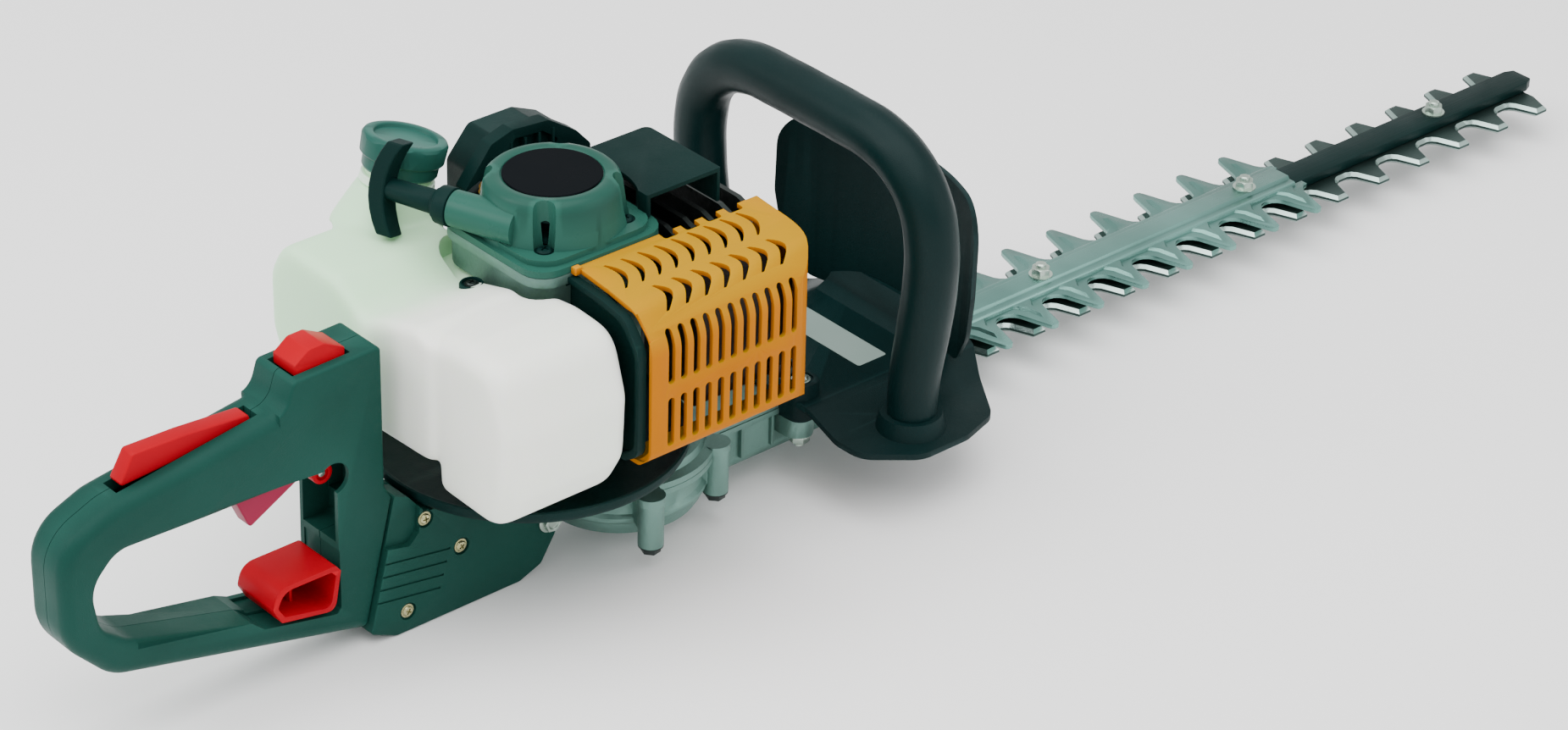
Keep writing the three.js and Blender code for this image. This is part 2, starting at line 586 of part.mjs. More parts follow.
function fuelTank() {
  const neck = rod(fillerPoint(45), fillerPoint(CAP.height - 6), 17, 17, 24);
  const mouth = rod(fillerPoint(52), fillerPoint(0), 13.5, 13.5, 24);
  const engineBay = (grow) => join(
    upright(CRANK_X, 0, [0, FAR], 37 + grow, 24), box([-268 - grow, 0], [-44 - grow, 44 + grow],
      [162 - grow, FAR]));
  const outer = cut(tankBody(0), engineBay(0));
  const inner = cut(tankBody(TANK.wall), engineBay(TANK.wall));
  return mesh('fuel_tank', 'tankPlastic', cut(join(outer, neck), inner, mouth));
}

function fuelCap() {
  const skirt = rod(fillerPoint(CAP.height), fillerPoint(CAP.height - 9), CAP.r - 2, CAP.r - 2, 18);
  const crown = rod(fillerPoint(CAP.height - 8.5), fillerPoint(0), CAP.r, CAP.r - 0.6, 18);
  const inside = rod(fillerPoint(CAP.height + 3), fillerPoint(CAP.height - 14), 17.4, 17.4, 24);
  const dish = rod(fillerPoint(1.6), fillerPoint(-5), CAP.r - 5, CAP.r - 5, 18);
  return mesh('fuel_cap', 'greyPlastic', cut(join(skirt, crown), inside, dish));
}

const INTAKE = { x: -200, z: 150 };

function intakeInsulator() {
  const { x } = INTAKE;
  const block = box([x - 16, x + 16], [34.5, 46], [110, 148]);
  return mesh('intake_insulator', 'blackPlastic', cut(
    block, rod([x, 0, 130], [x, 60, 130], 8, 8, 14), upright(CRANK_X, 0, [0, FAR], 34 + GAP, 24)));
}

function carburettor() {
  const { x } = INTAKE;
  return mesh('carburettor', 'castAluminium', cut(
    join(
      box([x - 15, x + 15], [46.4, 61], [112, 148]),
      upright(x, 54, [112, 158], 6.8, 14),
      box([x - 20, x + 20], [56, 61], [118, 142])),
    rod([x, 0, 130], [x, 80, 130], 8, 8, 14)));
}

function chokeLever() {
  const { x } = INTAKE;
  return mesh('choke_lever', 'blackPlastic', join(
    rod([x - 20.4, 56, 128], [x - 24, 56, 128], 4.5, 4.5, 12),
      box([x - 24, x - 21.5], [54, 58], [128, 150])));
}

function primerBulb() {
  const { x } = INTAKE;
  return mesh('primer_bulb', 'rubber', join(
    rod([x, 54, 111.7], [x, 54, 108], 6.6, 6.6, 14), rod([x, 54, 108.2], [x, 54, 103], 6.6, 3.5, 14)));
}

function airFilter() {
  const { x } = INTAKE;
  return mesh('air_filter', 'foam', box([x - 22, x + 27], [61.4, 71], [114, 186]));
}

function airCleanerCover() {
  const x = [-226, -168];
  const front = outline([
    [x[0], 110], [x[1], 110], [x[1], 186], [x[1] - 6, 196], [x[1] - 14, 203], [x[0] + 22, 203],
      [x[0] + 16, 195],
    [x[0] + 2, 190], [x[0], 186]]);
  const shell = sidePrism(front, [62, 84]);
  const hump = sidePrism(
    outline([[x[0] + 10, 120], [x[1] - 8, 120], [x[1] - 10, 186], [x[0] + 14, 186]]), [83, 91]);
  const room = box([x[0] + 2.4, x[1] - 2.4], [50, 81.6], [112.4, 187]);
  const knobHole = rod([-197, 70, 165], [-197, 99, 165], 4, 4, 12);
  return mesh('air_cleaner_cover', 'blackPlastic', cut(join(shell, hump), room, knobHole));
}

function airCleanerKnob() {
  return mesh('air_cleaner_knob', 'blackPlastic', join(
    rod([-197, 72, 165], [-197, 92, 165], 3.6, 3.6, 12),
    rod([-197, 91.3, 165], [-197, 99, 165], 9, 8, 12),
    box([-206, -188], [94, 101], [163.4, 166.6])));
}

// ---------------------------------------------------------------- exhaust side
function muffler() {
  const shell = endPrism(roundedRect([-86, -43], [110, 170], 8), [-200, -140], 3);
  const outlet = rod([-150, -86, 120], [-150, -92, 118], 6, 6, 12);
  const inlet = box([-176, -156], [-44, -37.6], [128, 146]);
  return mesh('muffler', 'darkSteel', join(shell, outlet, inlet));
}

const GUARD = { x: [-242, -126], wall: 2.4 };
const GUARD_SECTION = [[-30, 189, 0], [-84, 184, 16], [-100, 168, 20], [-99, 104, 12], [-84, 96, 4],
  [-30, 96, 0]];

function guardBlock(inset) {
  const section = GUARD_SECTION.map(([u, v, r]) => [
    u + (u < -90 ? inset : 0), v + (v > 150 ? -inset : inset), Math.max(r - inset, 0)]);
  const front = GUARD.x[1] - inset;
  const corner = rounded([[-FAR, 0], [-FAR, -100 + inset], [front, -100 + inset, 34 - inset], [front, 0]]);
  return endPrism(rounded(section), [GUARD.x[0], front], 4).intersect(planPrism(corner, [0, FAR], 6));
}

function mufflerGuard() {
  const slots = [];
  for (let i = 0; i < 7; i += 1) {
    const x = -231 + i * 11;
    slots.push(box([x, x + 5.5], [-110, -94], [134, 160]), box([x, x + 5.5], [-110, -94], [105, 127]));
  }
  for (let i = 0; i < 5; i += 1) {
    const x = -228 + i * 15;
    slots.push(box([x, x + 6], [-66, -52], [170, FAR]), box([x + 3, x + 9], [-86, -76], [176, FAR]));
  }
  const rearOpen = box([-FAR, GUARD.x[0] + 1], [-97, 0], [100, 182]);
  const floorOpen = box([-FAR, FAR], [-76, 0], [0, 110]);
  const engineRelief = box([-FAR, FAR], [-41.8, 60], [0, FAR]);
  return mesh('muffler_guard', 'yellowPlastic', cut(
    guardBlock(0), guardBlock(GUARD.wall), rearOpen, floorOpen, engineRelief, ...slots));
}

function heatShield() {
  const shape = rounded([[-42, 181, 4], [-82, 180, 14], [-95.5, 166, 14], [-95, 108, 10],
    [-84, 101, 6], [-42, 101, 4]]);
  return mesh('heat_shield', 'blackPlastic', endPrism(shape, [-247, -242.6], 3));
}

function engineTray() {
  const { x, r, bottom, top } = TRAY;
  const rim = turned(x, 0, [[0, bottom], [r - 4, bottom], [r, bottom + 2], [r, top], [r - 3, top],
    [r - 3, bottom + 3.4],
    [0, bottom + 3.4]], 56);
  return mesh('engine_tray', 'blackPlastic', cut(rim, upright(CRANK_X, 0, [0, FAR], 34 + GAP, 24)));
}

// ---------------------------------------------------------------- front handle, plate and shield
function basePlate() {
  const half = [[24, 46, 6], [-8, 99, 12], [-30, 106.6, 16], [-66, 106.6, 18], [-90, 88, 16], [-92, 46, 3]];
  const plan = rounded([...half, ...half.map(([u, v, r]) => [u, -v, r]).reverse()]);
  const { top, rim, wall, humpHalf, slopeEnd } = PLATE;
  const skin = [[-110, rim], [-slopeEnd, rim], [-humpHalf, top], [humpHalf, top], [slopeEnd, rim],
    [110, rim]];
  const under = skin.map(([u, v]) => [u, v - wall]).reverse();
  const sheet = endPrism(outline([...skin, ...under]), [-120, 60]);
  const bosses = [-1, 1].map((side) => box(
    [PLATE.bolts.x - 8, PLATE.bolts.x + 8], [side * PLATE.bolts.y - 8, side * PLATE.bolts.y + 8],
      [38.3, 60]));
  const holes = [-1, 1].map((side) => upright(PLATE.bolts.x, side * PLATE.bolts.y, [0, FAR], 3.4, 12));
  const feet = [-1, 1].map((side) => upright(LOOP.x, side * LOOP.footHalf, [0, FAR], LOOP.tubeR + GAP, 24));
  return mesh('base_plate', 'darkPlastic', cut(
    join(sheet.intersect(planPrism(plan, [20, 70], 5)), ...bosses), ...holes, ...feet));
}

// The shield stands on the plate's front edge. It is bowed, with its edges swept back to the hands.
function handShield() {
  const { x, wall, bottom } = SHIELD;
  const face = rounded([
    [-44, bottom, 0], [-66, 54, 12], [-77, 84, 20], [-76, 146, 30], [76, 146, 30], [77, 84, 20],
      [66, 54, 12],
    [44, bottom, 0]]);
  const slab = endPrism(face, [x - 22, x + 20], 4);
  const sweep = (r) => rod([x - 148, 0, 0], [x - 148, 0, FAR], r, r, 48);
  return mesh('hand_shield', 'darkPlastic', slab.intersect(cut(sweep(150 + wall), sweep(150))));
}

function loopCurve() {
  const { x, footHalf, wideHalf, axisTop, foot } = LOOP;
  const v = (y, z) => new THREE.Vector3(x, y, z);
  const side = (s) => [
    v(s * footHalf, foot), v(s * (footHalf + 3), 78), v(s * (wideHalf - 2), 116), v(s * wideHalf, 140)];
  return new THREE.CatmullRomCurve3([
    ...side(-1), v(-wideHalf + 5, 168), v(-wideHalf + 20, 189), v(-50, axisTop - 1), v(0, axisTop),
    v(50, axisTop - 1), v(wideHalf - 20, 189), v(wideHalf - 5, 168), ...side(1).reverse()], false,
      'centripetal');
}

function frontHandle() {
  const section = new THREE.Shape();
  section.absarc(0, 0, LOOP.tubeR, 0, 2 * Math.PI, false);
  const tube = new THREE.ExtrudeGeometry(section, { extrudePath: loopCurve(), steps: 26,
    curveSegments: 7 });
  return mesh('front_handle', 'darkPlastic', solid(tube));
}

function plateBolt(name, side) {
  const { x, y } = PLATE.bolts;
  return mesh(name, 'zinc', join(
    upright(x, side * y, [60 + GAP, 63], 6, 14),
    upright(x, side * y, [20, 61], 3, 12),
    upright(x, side * y, [21.5, 27 - GAP], 5.8, 6)));
}

// ---------------------------------------------------------------- rear handle
// A point on the swivel's line, and the seam across it where the turning handle meets its bracket.
function swivelPoint(along) {
  const tilt = THREE.MathUtils.degToRad(SWIVEL.tiltDeg);
  return [SWIVEL.x + along * Math.cos(tilt), 0, SWIVEL.z - along * Math.sin(tilt)];
}

function seamX(z) {
  return SWIVEL.x + (z - SWIVEL.z) * Math.tan(THREE.MathUtils.degToRad(SWIVEL.tiltDeg));
}

// Side views as [x, z, corner radius].
const HANDLE_OUTSIDE = [
  [-342, 168, 2], [-394, 167, 3], [-400, 150, 6], [-500, 136, 18], [-529, 128, 22], [-529, 70, 26],
    [-504, 44, 22],
  [seamX(8) - 0.6, 8, 2], [seamX(80) - 0.6, 80, 0], [-342, 88, 3]];
const HANDLE_OPENING = [
  [-386, 110, 5], [-497, 112, 14], [-514, 96, 15], [-500, 64, 18], [-412, 38, 3], [-394, 44, 2],
    [-394, 88, 2],
  [-386, 94, 2]];
const HANDLE_ROOMS = [
  [[-346, 164], [-391, 163], [-396, 147], [-492, 133], [-505, 125], [-497, 116], [-383, 115], [-378, 88],
    [-371, 80], [-371, 66], [-346, 66]],
];

function handleHalf(name, y) {
  const shell = rounded(HANDLE_OUTSIDE);
  shell.holes.push(rounded(HANDLE_OPENING));
  const inner = y[0] < 0 ? [y[0] + 3, 0] : [0, y[1] - 3];
  const rooms = HANDLE_ROOMS.map((points) => sidePrism(outline(points), inner));
  const triggerSlot = sidePrism(outline([[-431, 118], [-431, 104], [-366, 90], [-366, 118]]), [-6.5, 6.5]);
  const lockSlot = sidePrism(outline([[-490, 132], [-490, 160], [-409, 160], [-409, 140]]), [-5.5, 5.5]);
  const switchSlot = box([-390, -357], [-9.5, 9.5], [160, 175]);
  const pinHole = rod([-373, -11, 103], [-373, 11, 103], 2.4, 2.4, 12);
  const leverBay = sidePrism(outline([[-416, 63], [-372, 61], [-372, 24], [-416, 34]]), [-20, 12.2]);
  const spigot = rod(swivelPoint(-25), swivelPoint(20), 12.4, 12.4, 24);
  return mesh(name, 'darkPlastic', cut(
    sidePrism(shell, y, 5), ...rooms, triggerSlot, lockSlot, switchSlot, pinHole, leverBay, spigot));
}

function throttleTrigger() {
  const arm = sidePrism(rounded([[-426, 110, 1], [-414.5, 88, 1], [-382, 106.5, 4], [-372, 98.5, 2],
    [-368, 106, 3],
    [-380, 113.5, 2], [-424, 113.5, 1]]), [-5, 5]);
  const ring = rod([-373, -5, 103], [-373, 5, 103], 5.3, 5.3, 14);
  const pin = rod([-373, -10.5, 103], [-373, 10.5, 103], 2.1, 2.1, 12);
  return mesh('throttle_trigger', 'redPlastic', join(arm, ring, pin));
}

function throttleLock() {
  return mesh('throttle_lock', 'redPlastic', sidePrism(
    rounded([[-488, 138, 1], [-479, 155, 2], [-415, 151, 2], [-412, 146.5, 2], [-430, 143.5, 1]]),
      [-4.8, 4.8]));
}

function stopSwitch() {
  return mesh('stop_switch', 'redPlastic', join(
    sidePrism(outline([[-388, 164.5], [-388, 170.5], [-379, 177], [-370, 177], [-359, 170.5],
      [-359, 164.5]]), [-8.6, 8.6])));
}

function swivelLockLever() {
  const outer = rounded([[-408, 58.5, 4], [-374, 54, 4], [-378, 30, 4], [-410, 39, 3]]);
  const inner = rounded([[-405, 55.6, 3], [-377.5, 51.8, 3], [-380.5, 33.6, 3], [-407, 41, 2]]);
  return mesh('swivel_lock_lever', 'redPlastic', cut(sidePrism(outer, [-18.5, 11], 3),
    sidePrism(inner, [-30, 8], 3)));
}

function bracketHalf(name, y) {
  const shape = rounded([
    [seamX(79) + 0.6, 79, 1], [-329, 76, 2], [-323, 68, 1], [-252, 44, 4], [-236, 38, 3],
    [-236, 22, 3], [-248, 5, 4], [-262, 0, 3], [-340, 0, 6], [seamX(8) + 0.6, 8, 2]]);
  const innerFace = y[0] < 0 ? [y[0] + 3.4, 0] : [0, y[1] - 3.4];
  const room = sidePrism(outline([[-306, 50], [-269, 41], [-269, 6], [-306, 6]]), innerFace);
  const lugBay = box([-265, -100], [-14, 14], [-1, FAR]);
  const crankRelief = upright(CRANK_X, 0, [CASE.split - GAP, FAR], 40.8, 24);
  const tube = rod(swivelPoint(-20), swivelPoint(30.5), 12.3, 12.3, 24);
  const bolt = rod([-243, -40, 30], [-243, 40, 30], 4.4, 4.4, 12);
  return mesh(name, 'darkPlastic', cut(sidePrism(shape, y, 3), room, lugBay, crankRelief, tube, bolt));
}

function swivelTube() {
  return mesh('swivel_tube', 'zinc', cut(
    rod(swivelPoint(-24), swivelPoint(30), 12, 12, 24), rod(swivelPoint(-40), swivelPoint(40), 9.5,
      9.5, 14)));
}

function bracketBolt() {
  return mesh('bracket_bolt', 'zinc', join(
    rod([-243, -26, 30], [-243, -20.3, 30], 6.4, 6.4, 6),
    rod([-243, -21, 30], [-243, 25, 30], 4, 4, 12),
    rod([-243, 20.3, 30], [-243, 25, 30], 6.4, 6.4, 6)));
}

// ---------------------------------------------------------------- assembly
const driveTrain = new THREE.Group();
driveTrain.add(gearCaseLower(), gearCaseUpper(), driveGear(), clutchDrum(),
  clutchShoe('clutch_shoe_front', 1),
  clutchShoe('clutch_shoe_rear', -1));

const engine = new THREE.Group();
engine.add(crankshaft(), flywheel(), crankcase(), cylinder(), piston(), sparkPlug(), sparkPlugBoot(),
  ignitionCoil(),
  fanHousing(), cylinderCover(), engineTray());

const starter = new THREE.Group();
starter.add(starterHousing(), starterBadge(), starterReel(), ropeGuide(), starterRope(), starterGrip());

const fuelSystem = new THREE.Group();
fuelSystem.add(fuelTank(), fuelCap(), intakeInsulator(), carburettor(), chokeLever(), primerBulb(),
  airFilter(),
  airCleanerCover(), airCleanerKnob());

const exhaust = new THREE.Group();
exhaust.add(muffler(), mufflerGuard(), heatShield());

const frontGrip = new THREE.Group();
frontGrip.add(basePlate(), handShield(), frontHandle(), plateBolt('plate_bolt_right', -1),
  plateBolt('plate_bolt_left', 1));

const rearGrip = new THREE.Group();
rearGrip.add(
  bracketHalf('handle_bracket_right', [-BRACKET_HALF, -0.2]),
    bracketHalf('handle_bracket_left', [0.2, BRACKET_HALF]),
  swivelTube(), bracketBolt(),
  handleHalf('rear_handle_right', [-HANDLE_HALF, -0.2]), handleHalf('rear_handle_left', [0.2, HANDLE_HALF]),
  throttleTrigger(), throttleLock(), stopSwitch(), swivelLockLever());

const hedgeTrimmer = new THREE.Group();
hedgeTrimmer.add(cutter(), driveTrain, engine, starter, fuelSystem, exhaust, frontGrip, rearGrip);
export default hedgeTrimmer;
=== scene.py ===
"""The look of a petrol hedge trimmer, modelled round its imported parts."""

from __future__ import annotations

import logging
import math
from dataclasses import dataclass, field
from enum import Enum

import bpy
from mathutils import Matrix, Vector


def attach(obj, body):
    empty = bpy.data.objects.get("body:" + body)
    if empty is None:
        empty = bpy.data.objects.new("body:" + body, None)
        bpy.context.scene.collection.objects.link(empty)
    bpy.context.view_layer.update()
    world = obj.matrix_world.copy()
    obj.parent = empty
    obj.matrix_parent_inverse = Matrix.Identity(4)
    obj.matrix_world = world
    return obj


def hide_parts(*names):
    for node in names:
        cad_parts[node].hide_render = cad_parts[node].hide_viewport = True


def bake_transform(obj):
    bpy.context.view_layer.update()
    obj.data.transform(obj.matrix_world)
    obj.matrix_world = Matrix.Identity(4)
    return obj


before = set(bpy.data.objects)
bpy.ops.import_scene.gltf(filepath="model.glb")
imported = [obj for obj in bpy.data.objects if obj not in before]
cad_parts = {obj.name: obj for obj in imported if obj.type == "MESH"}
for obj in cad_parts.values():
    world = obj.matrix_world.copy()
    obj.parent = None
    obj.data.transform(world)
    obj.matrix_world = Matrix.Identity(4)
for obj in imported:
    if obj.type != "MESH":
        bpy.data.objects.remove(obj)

LOG = logging.getLogger("hedge_trimmer")
MM = 0.001
Point = tuple[float, float, float]
Corner = tuple[float, float, float]
Flat = tuple[float, float]
Piece = bpy.types.Object


class Plane(Enum):
    """The plane that an outline is drawn in."""

    PLAN = "plan"
    SIDE = "side"
    END = "end"

    def place(self, u: float, v: float, depth: float) -> Vector:
        """Turn a point of an outline into a point of the machine, in metres."""
        if self is Plane.PLAN:
            return Vector((u, v, depth)) * MM
        if self is Plane.SIDE:
            return Vector((u, depth, v)) * MM
        return Vector((depth, u, v)) * MM


class Grain(Enum):
    """The fine texture that a surface is made with."""

    SPARK = "spark"
    CAST = "cast"
    BRUSHED = "brushed"
    GLOSS = "gloss"
    CLOTH = "cloth"


# ---------------------------------------------------------------- shader maths


def tone(red: float, green: float, blue: float) -> tuple[float, float, float, float]:
    """A colour with full alpha."""
    return (red, green, blue, 1.0)


class Wire:
    """A socket of a node, with arithmetic that adds Math nodes."""

    def __init__(self, mixer: "Mixer", socket: bpy.types.NodeSocket) -> None:
        """Keep the socket and the tree that it belongs to."""
        self.mixer = mixer
        self.socket = socket

    def _math(self, operation: str, first: object, second: object) -> "Wire":
        """Add one Math node and return its result."""
        node = self.mixer.node("ShaderNodeMath", {"operation": operation}, {0: first, 1: second})
        return Wire(self.mixer, node.outputs[0])

    def __add__(self, other: object) -> "Wire":
        """Add."""
        return self._math("ADD", self, other)

    def __radd__(self, other: object) -> "Wire":
        """Add, the number first."""
        return self._math("ADD", other, self)

    def __sub__(self, other: object) -> "Wire":
        """Take away."""
        return self._math("SUBTRACT", self, other)

    def __rsub__(self, other: object) -> "Wire":
        """Take this away from a number."""
        return self._math("SUBTRACT", other, self)

    def __mul__(self, other: object) -> "Wire":
        """Multiply."""
        return self._math("MULTIPLY", self, other)

    def __rmul__(self, other: object) -> "Wire":
        """Multiply, the number first."""
        return self._math("MULTIPLY", other, self)

    def __pow__(self, other: object) -> "Wire":
        """Raise to a power."""
        return self._math("POWER", self, other)


class Mixer:
    """The node tree of one material."""

    def __init__(self, name: str) -> None:
        """Start a material with only its output and a principled shader."""
        self.material = bpy.data.materials.new(name)
        self.material.use_nodes = True
        self.tree = self.material.node_tree
        self.shader = next(n for n in self.tree.nodes if n.type == "BSDF_PRINCIPLED")

    def node(self, kind: str, settings: dict[str, object], inputs: dict[object, object]) -> bpy.types.Node:
        """Add a node.

        Args:
            kind: The node's type.
            settings: Its own settings, which are set first. "stops" gives a ramp's stops.
            inputs: Values or wires for its sockets, by name or number.

        Returns:
            The new node.
        """
        made = self.tree.nodes.new(kind)
        for key, value in settings.items():
            if key == "stops":
                self._stops(made, value)
            else:
                setattr(made, key, value)
        for key, value in inputs.items():
            self.feed(made.inputs[key], value)
        return made

    def _stops(self, ramp: bpy.types.Node, stops: list[tuple[float, tuple[float, ...]]]) -> None:
        """Set the stops of a colour ramp."""
        elements = ramp.color_ramp.elements
        while len(elements) < len(stops):
            elements.new(0.5)
        for element, (place, colour) in zip(elements, stops):
            element.position = place
            element.color = colour

    def feed(self, socket: bpy.types.NodeSocket, value: object) -> None:
        """Link a wire to a socket, or set its value."""
        if isinstance(value, Wire):
            self.tree.links.new(value.socket, socket)
        else:
            socket.default_value = value

    def place(self, scale: float = 1.0, stretch: Point = (1.0, 1.0, 1.0)) -> Wire:
        """Object coordinates, scaled, and stretched along an axis for brushed marks."""
        where = self.node("ShaderNodeTexCoord", {}, {})
        size = tuple(scale * s for s in stretch)
        mapped = self.node("ShaderNodeMapping", {}, {0: Wire(self, where.outputs["Object"]), 3: size})
        return Wire(self, mapped.outputs[0])

    def noise(self, scale: float, detail: float = 4.0, stretch: Point = (1.0, 1.0, 1.0)) -> Wire:
        """Noise whose grains are about 1000 / scale mm across."""
        made = self.node("ShaderNodeTexNoise", {}, {"Vector": self.place(1.0, stretch), "Scale": scale,
                                                    "Detail": detail, "Roughness": 0.55})
        return Wire(self, made.outputs[0])

    def blend(self, share: object, low: object, high: object) -> Wire:
        """Mix two colours."""
        made = self.node("ShaderNodeMix", {"data_type": "RGBA", "blend_type": "MIX"},
                         {0: share, 6: low, 7: high})
        return Wire(self, made.outputs[2])

    def level(self, value: Wire, low: float, high: float, start: float = 0.3, end: float = 0.7) -> Wire:
        """Stretch a value from start..end to low..high."""
        made = self.node("ShaderNodeMapRange", {"clamp": True}, {0: value, 1: start, 2: end, 3: low, 4: high})
        return Wire(self, made.outputs[0])

    def painted_edge_highlight(self) -> Wire:
        """1 along sharp convex edges and 0 elsewhere: where a highlight is painted along edges."""
        shape = self.node("ShaderNodeNewGeometry", {}, {})
        return self.level(Wire(self, shape.outputs["Pointiness"]), 0.0, 1.0, 0.53, 0.62)

    def top_light_share(self) -> Wire:
        """How far the surface faces up, from 0 to 1, which sets where light is painted on tops."""
        where = self.node("ShaderNodeTexCoord", {}, {})
        split = self.node("ShaderNodeSeparateXYZ", {}, {0: Wire(self, where.outputs["Normal"])})
        return self.level(Wire(self, split.outputs[2]), 0.0, 1.0, 0.0, 0.9)

    def leftward(self, start: float, end: float) -> Wire:
        """0 right of the start and 1 left of the end, in metres across the machine."""
        where = self.node("ShaderNodeTexCoord", {}, {})
        split = self.node("ShaderNodeSeparateXYZ", {}, {0: Wire(self, where.outputs["Object"])})
        return self.level(Wire(self, split.outputs[1]), 0.0, 1.0, start, end)


@dataclass(frozen=True)
class Finish:
    """A surface finish: its colour, its gloss and its grain."""

    name: str
    colour: tuple[float, float, float, float]
    shade: tuple[float, float, float, float]
    roughness: float = 0.4
    metallic: float = 0.0
    grain: Grain = Grain.SPARK
    grain_depth: float = 0.3
    gloss: float = 0.5
    glow: float = 0.0
    # Painted light: a lighter colour laid on faces that look up, where the overhead light falls.
    painted_top_light: tuple[float, float, float, float] | None = None
    left_side: tuple[float, float, float, float] | None = None

    def material(self) -> bpy.types.Material:
        """Make the finish's material, once.

        Returns:
            The material.
        """
        known = bpy.data.materials.get(self.name + "_finish")
        return known if known else self._mix()

    def _mix(self) -> bpy.types.Material:
        """Build the node tree."""
        mix = Mixer(self.name + "_finish")
        shader = mix.shader.inputs
        broad = mix.noise(14.0, 3.0)
        base = mix.blend(mix.level(broad, 0.0, 1.0), self.shade, self.colour)
        # Paint the overhead light onto the faces that look up.
        if self.painted_top_light:
            base = mix.blend(mix.top_light_share(), base, self.painted_top_light)
        if self.left_side:
            base = mix.blend(mix.leftward(-0.012, 0.03), base, self.left_side)
        # Painted highlight: sharp convex edges are painted lighter, and made a little glossier.
        highlight_share = mix.painted_edge_highlight()
        highlight_colour = tuple(min(1.0, c * 1.7 + 0.004) for c in self.colour[:3]) + (1.0,)
        mix.feed(shader["Base Color"], mix.blend(highlight_share * 0.45, base, highlight_colour))
        grain = self._grain(mix)
        rough = mix.level(mix.noise(45.0, 5.0), self.roughness - 0.06, self.roughness + 0.08)
        mix.feed(shader["Roughness"], rough + grain * 0.05 - highlight_share * 0.06)
        mix.feed(shader["Metallic"], self.metallic)
        mix.feed(shader["Specular IOR Level"], self.gloss)
        if self.glow:
            mix.feed(shader["Subsurface Weight"], self.glow)
            mix.feed(shader["Subsurface Radius"], (0.9, 1.0, 0.7))
            mix.feed(shader["Subsurface Scale"], 0.012)
        bump = mix.node("ShaderNodeBump", {}, {"Strength": self.grain_depth, "Distance": 0.0004,
                                               "Height": grain})
        mix.feed(shader["Normal"], Wire(mix, bump.outputs[0]))
        return mix.material

    def _grain(self, mix: Mixer) -> Wire:
        """The height of the finish's fine texture."""
        if self.grain is Grain.SPARK:
            return mix.noise(1900.0, 2.0) + mix.noise(420.0, 2.0) * 0.35
        if self.grain is Grain.CAST:
            return mix.noise(520.0, 6.0) + mix.noise(90.0, 3.0) * 0.8
        if self.grain is Grain.BRUSHED:
            return mix.noise(900.0, 3.0, (0.04, 1.0, 1.0)) + mix.noise(130.0, 2.0) * 0.3
        if self.grain is Grain.CLOTH:
            return mix.noise(2600.0, 3.0) * 1.5
        return mix.noise(60.0, 2.0) * 0.6


DARK = Finish("dark_plastic", tone(0.008, 0.052, 0.040), tone(0.006, 0.042, 0.032), 0.40, 0.0, Grain.SPARK,
              0.35, gloss=0.07)
LOOP = Finish("loop_plastic", tone(0.002, 0.014, 0.014), tone(0.001, 0.010, 0.010), 0.34, 0.0, Grain.SPARK, 0.25,
              gloss=0.11)
SHIELD = Finish("shield_plastic", tone(0.002, 0.015, 0.015), tone(0.002, 0.011, 0.011), 0.44, 0.0, Grain.SPARK,
                0.45, gloss=0.10)
BLACK = Finish("black_plastic", tone(0.003, 0.018, 0.016), tone(0.002, 0.013, 0.012), 0.44, 0.0, Grain.SPARK,
               0.35, gloss=0.06)
GREY = Finish("starter_plastic", tone(0.013, 0.065, 0.048), tone(0.011, 0.056, 0.041), 0.34, 0.0, Grain.GLOSS,
              0.12, gloss=0.11)
CAP = Finish("cap_plastic", tone(0.015, 0.080, 0.063), tone(0.013, 0.070, 0.055), 0.36, 0.0, Grain.GLOSS, 0.12,
             gloss=0.11)
RED = Finish("red_plastic", tone(0.38, 0.0, 0.008), tone(0.30, 0.0, 0.008), 0.34, 0.0, Grain.GLOSS, 0.15,
             gloss=0.05)
PINK_RED = Finish("trigger_plastic", tone(0.27, 0.010, 0.045), tone(0.23, 0.008, 0.040), 0.4, 0.0, Grain.GLOSS,
                  0.15, gloss=0.15)
# The guard's tops are painted lighter and yellower, for the overhead light on them.
YELLOW = Finish("guard_plastic", tone(0.43, 0.135, 0.0), tone(0.39, 0.122, 0.0), 0.38, 0.0, Grain.GLOSS, 0.12,
                gloss=0.03, painted_top_light=tone(0.40, 0.205, 0.0))
MILKY = Finish("tank_plastic", tone(0.93, 0.95, 0.87), tone(0.86, 0.93, 0.82), 0.42, 0.0, Grain.GLOSS, 0.12,
               glow=0.35, left_side=tone(0.55, 0.87, 0.56))
CAST = Finish("cast_aluminium", tone(0.12, 0.22, 0.19), tone(0.05, 0.10, 0.085), 0.48, 0.75, Grain.CAST, 0.6)
STAMPED = Finish("stamped_aluminium", tone(0.15, 0.31, 0.275), tone(0.08, 0.18, 0.155), 0.27, 0.92, Grain.BRUSHED, 0.25)
BLADE = Finish("blade_steel", tone(0.035, 0.065, 0.058), tone(0.018, 0.038, 0.034), 0.36, 0.8, Grain.BRUSHED, 0.25)
GROUND = Finish("ground_steel", tone(0.36, 0.47, 0.44), tone(0.24, 0.34, 0.31), 0.2, 0.95, Grain.BRUSHED, 0.2)
BAR = Finish("bar_steel", tone(0.003, 0.018, 0.017), tone(0.002, 0.012, 0.011), 0.38, 0.2, Grain.BRUSHED, 0.25,
             gloss=0.08)
ZINC = Finish("zinc_plate", tone(0.42, 0.50, 0.44), tone(0.28, 0.36, 0.31), 0.26, 0.9, Grain.CAST, 0.15)
GOLD_ZINC = Finish("yellow_zinc_plate", tone(0.46, 0.44, 0.24), tone(0.32, 0.31, 0.16), 0.28, 0.9, Grain.CAST, 0.15)
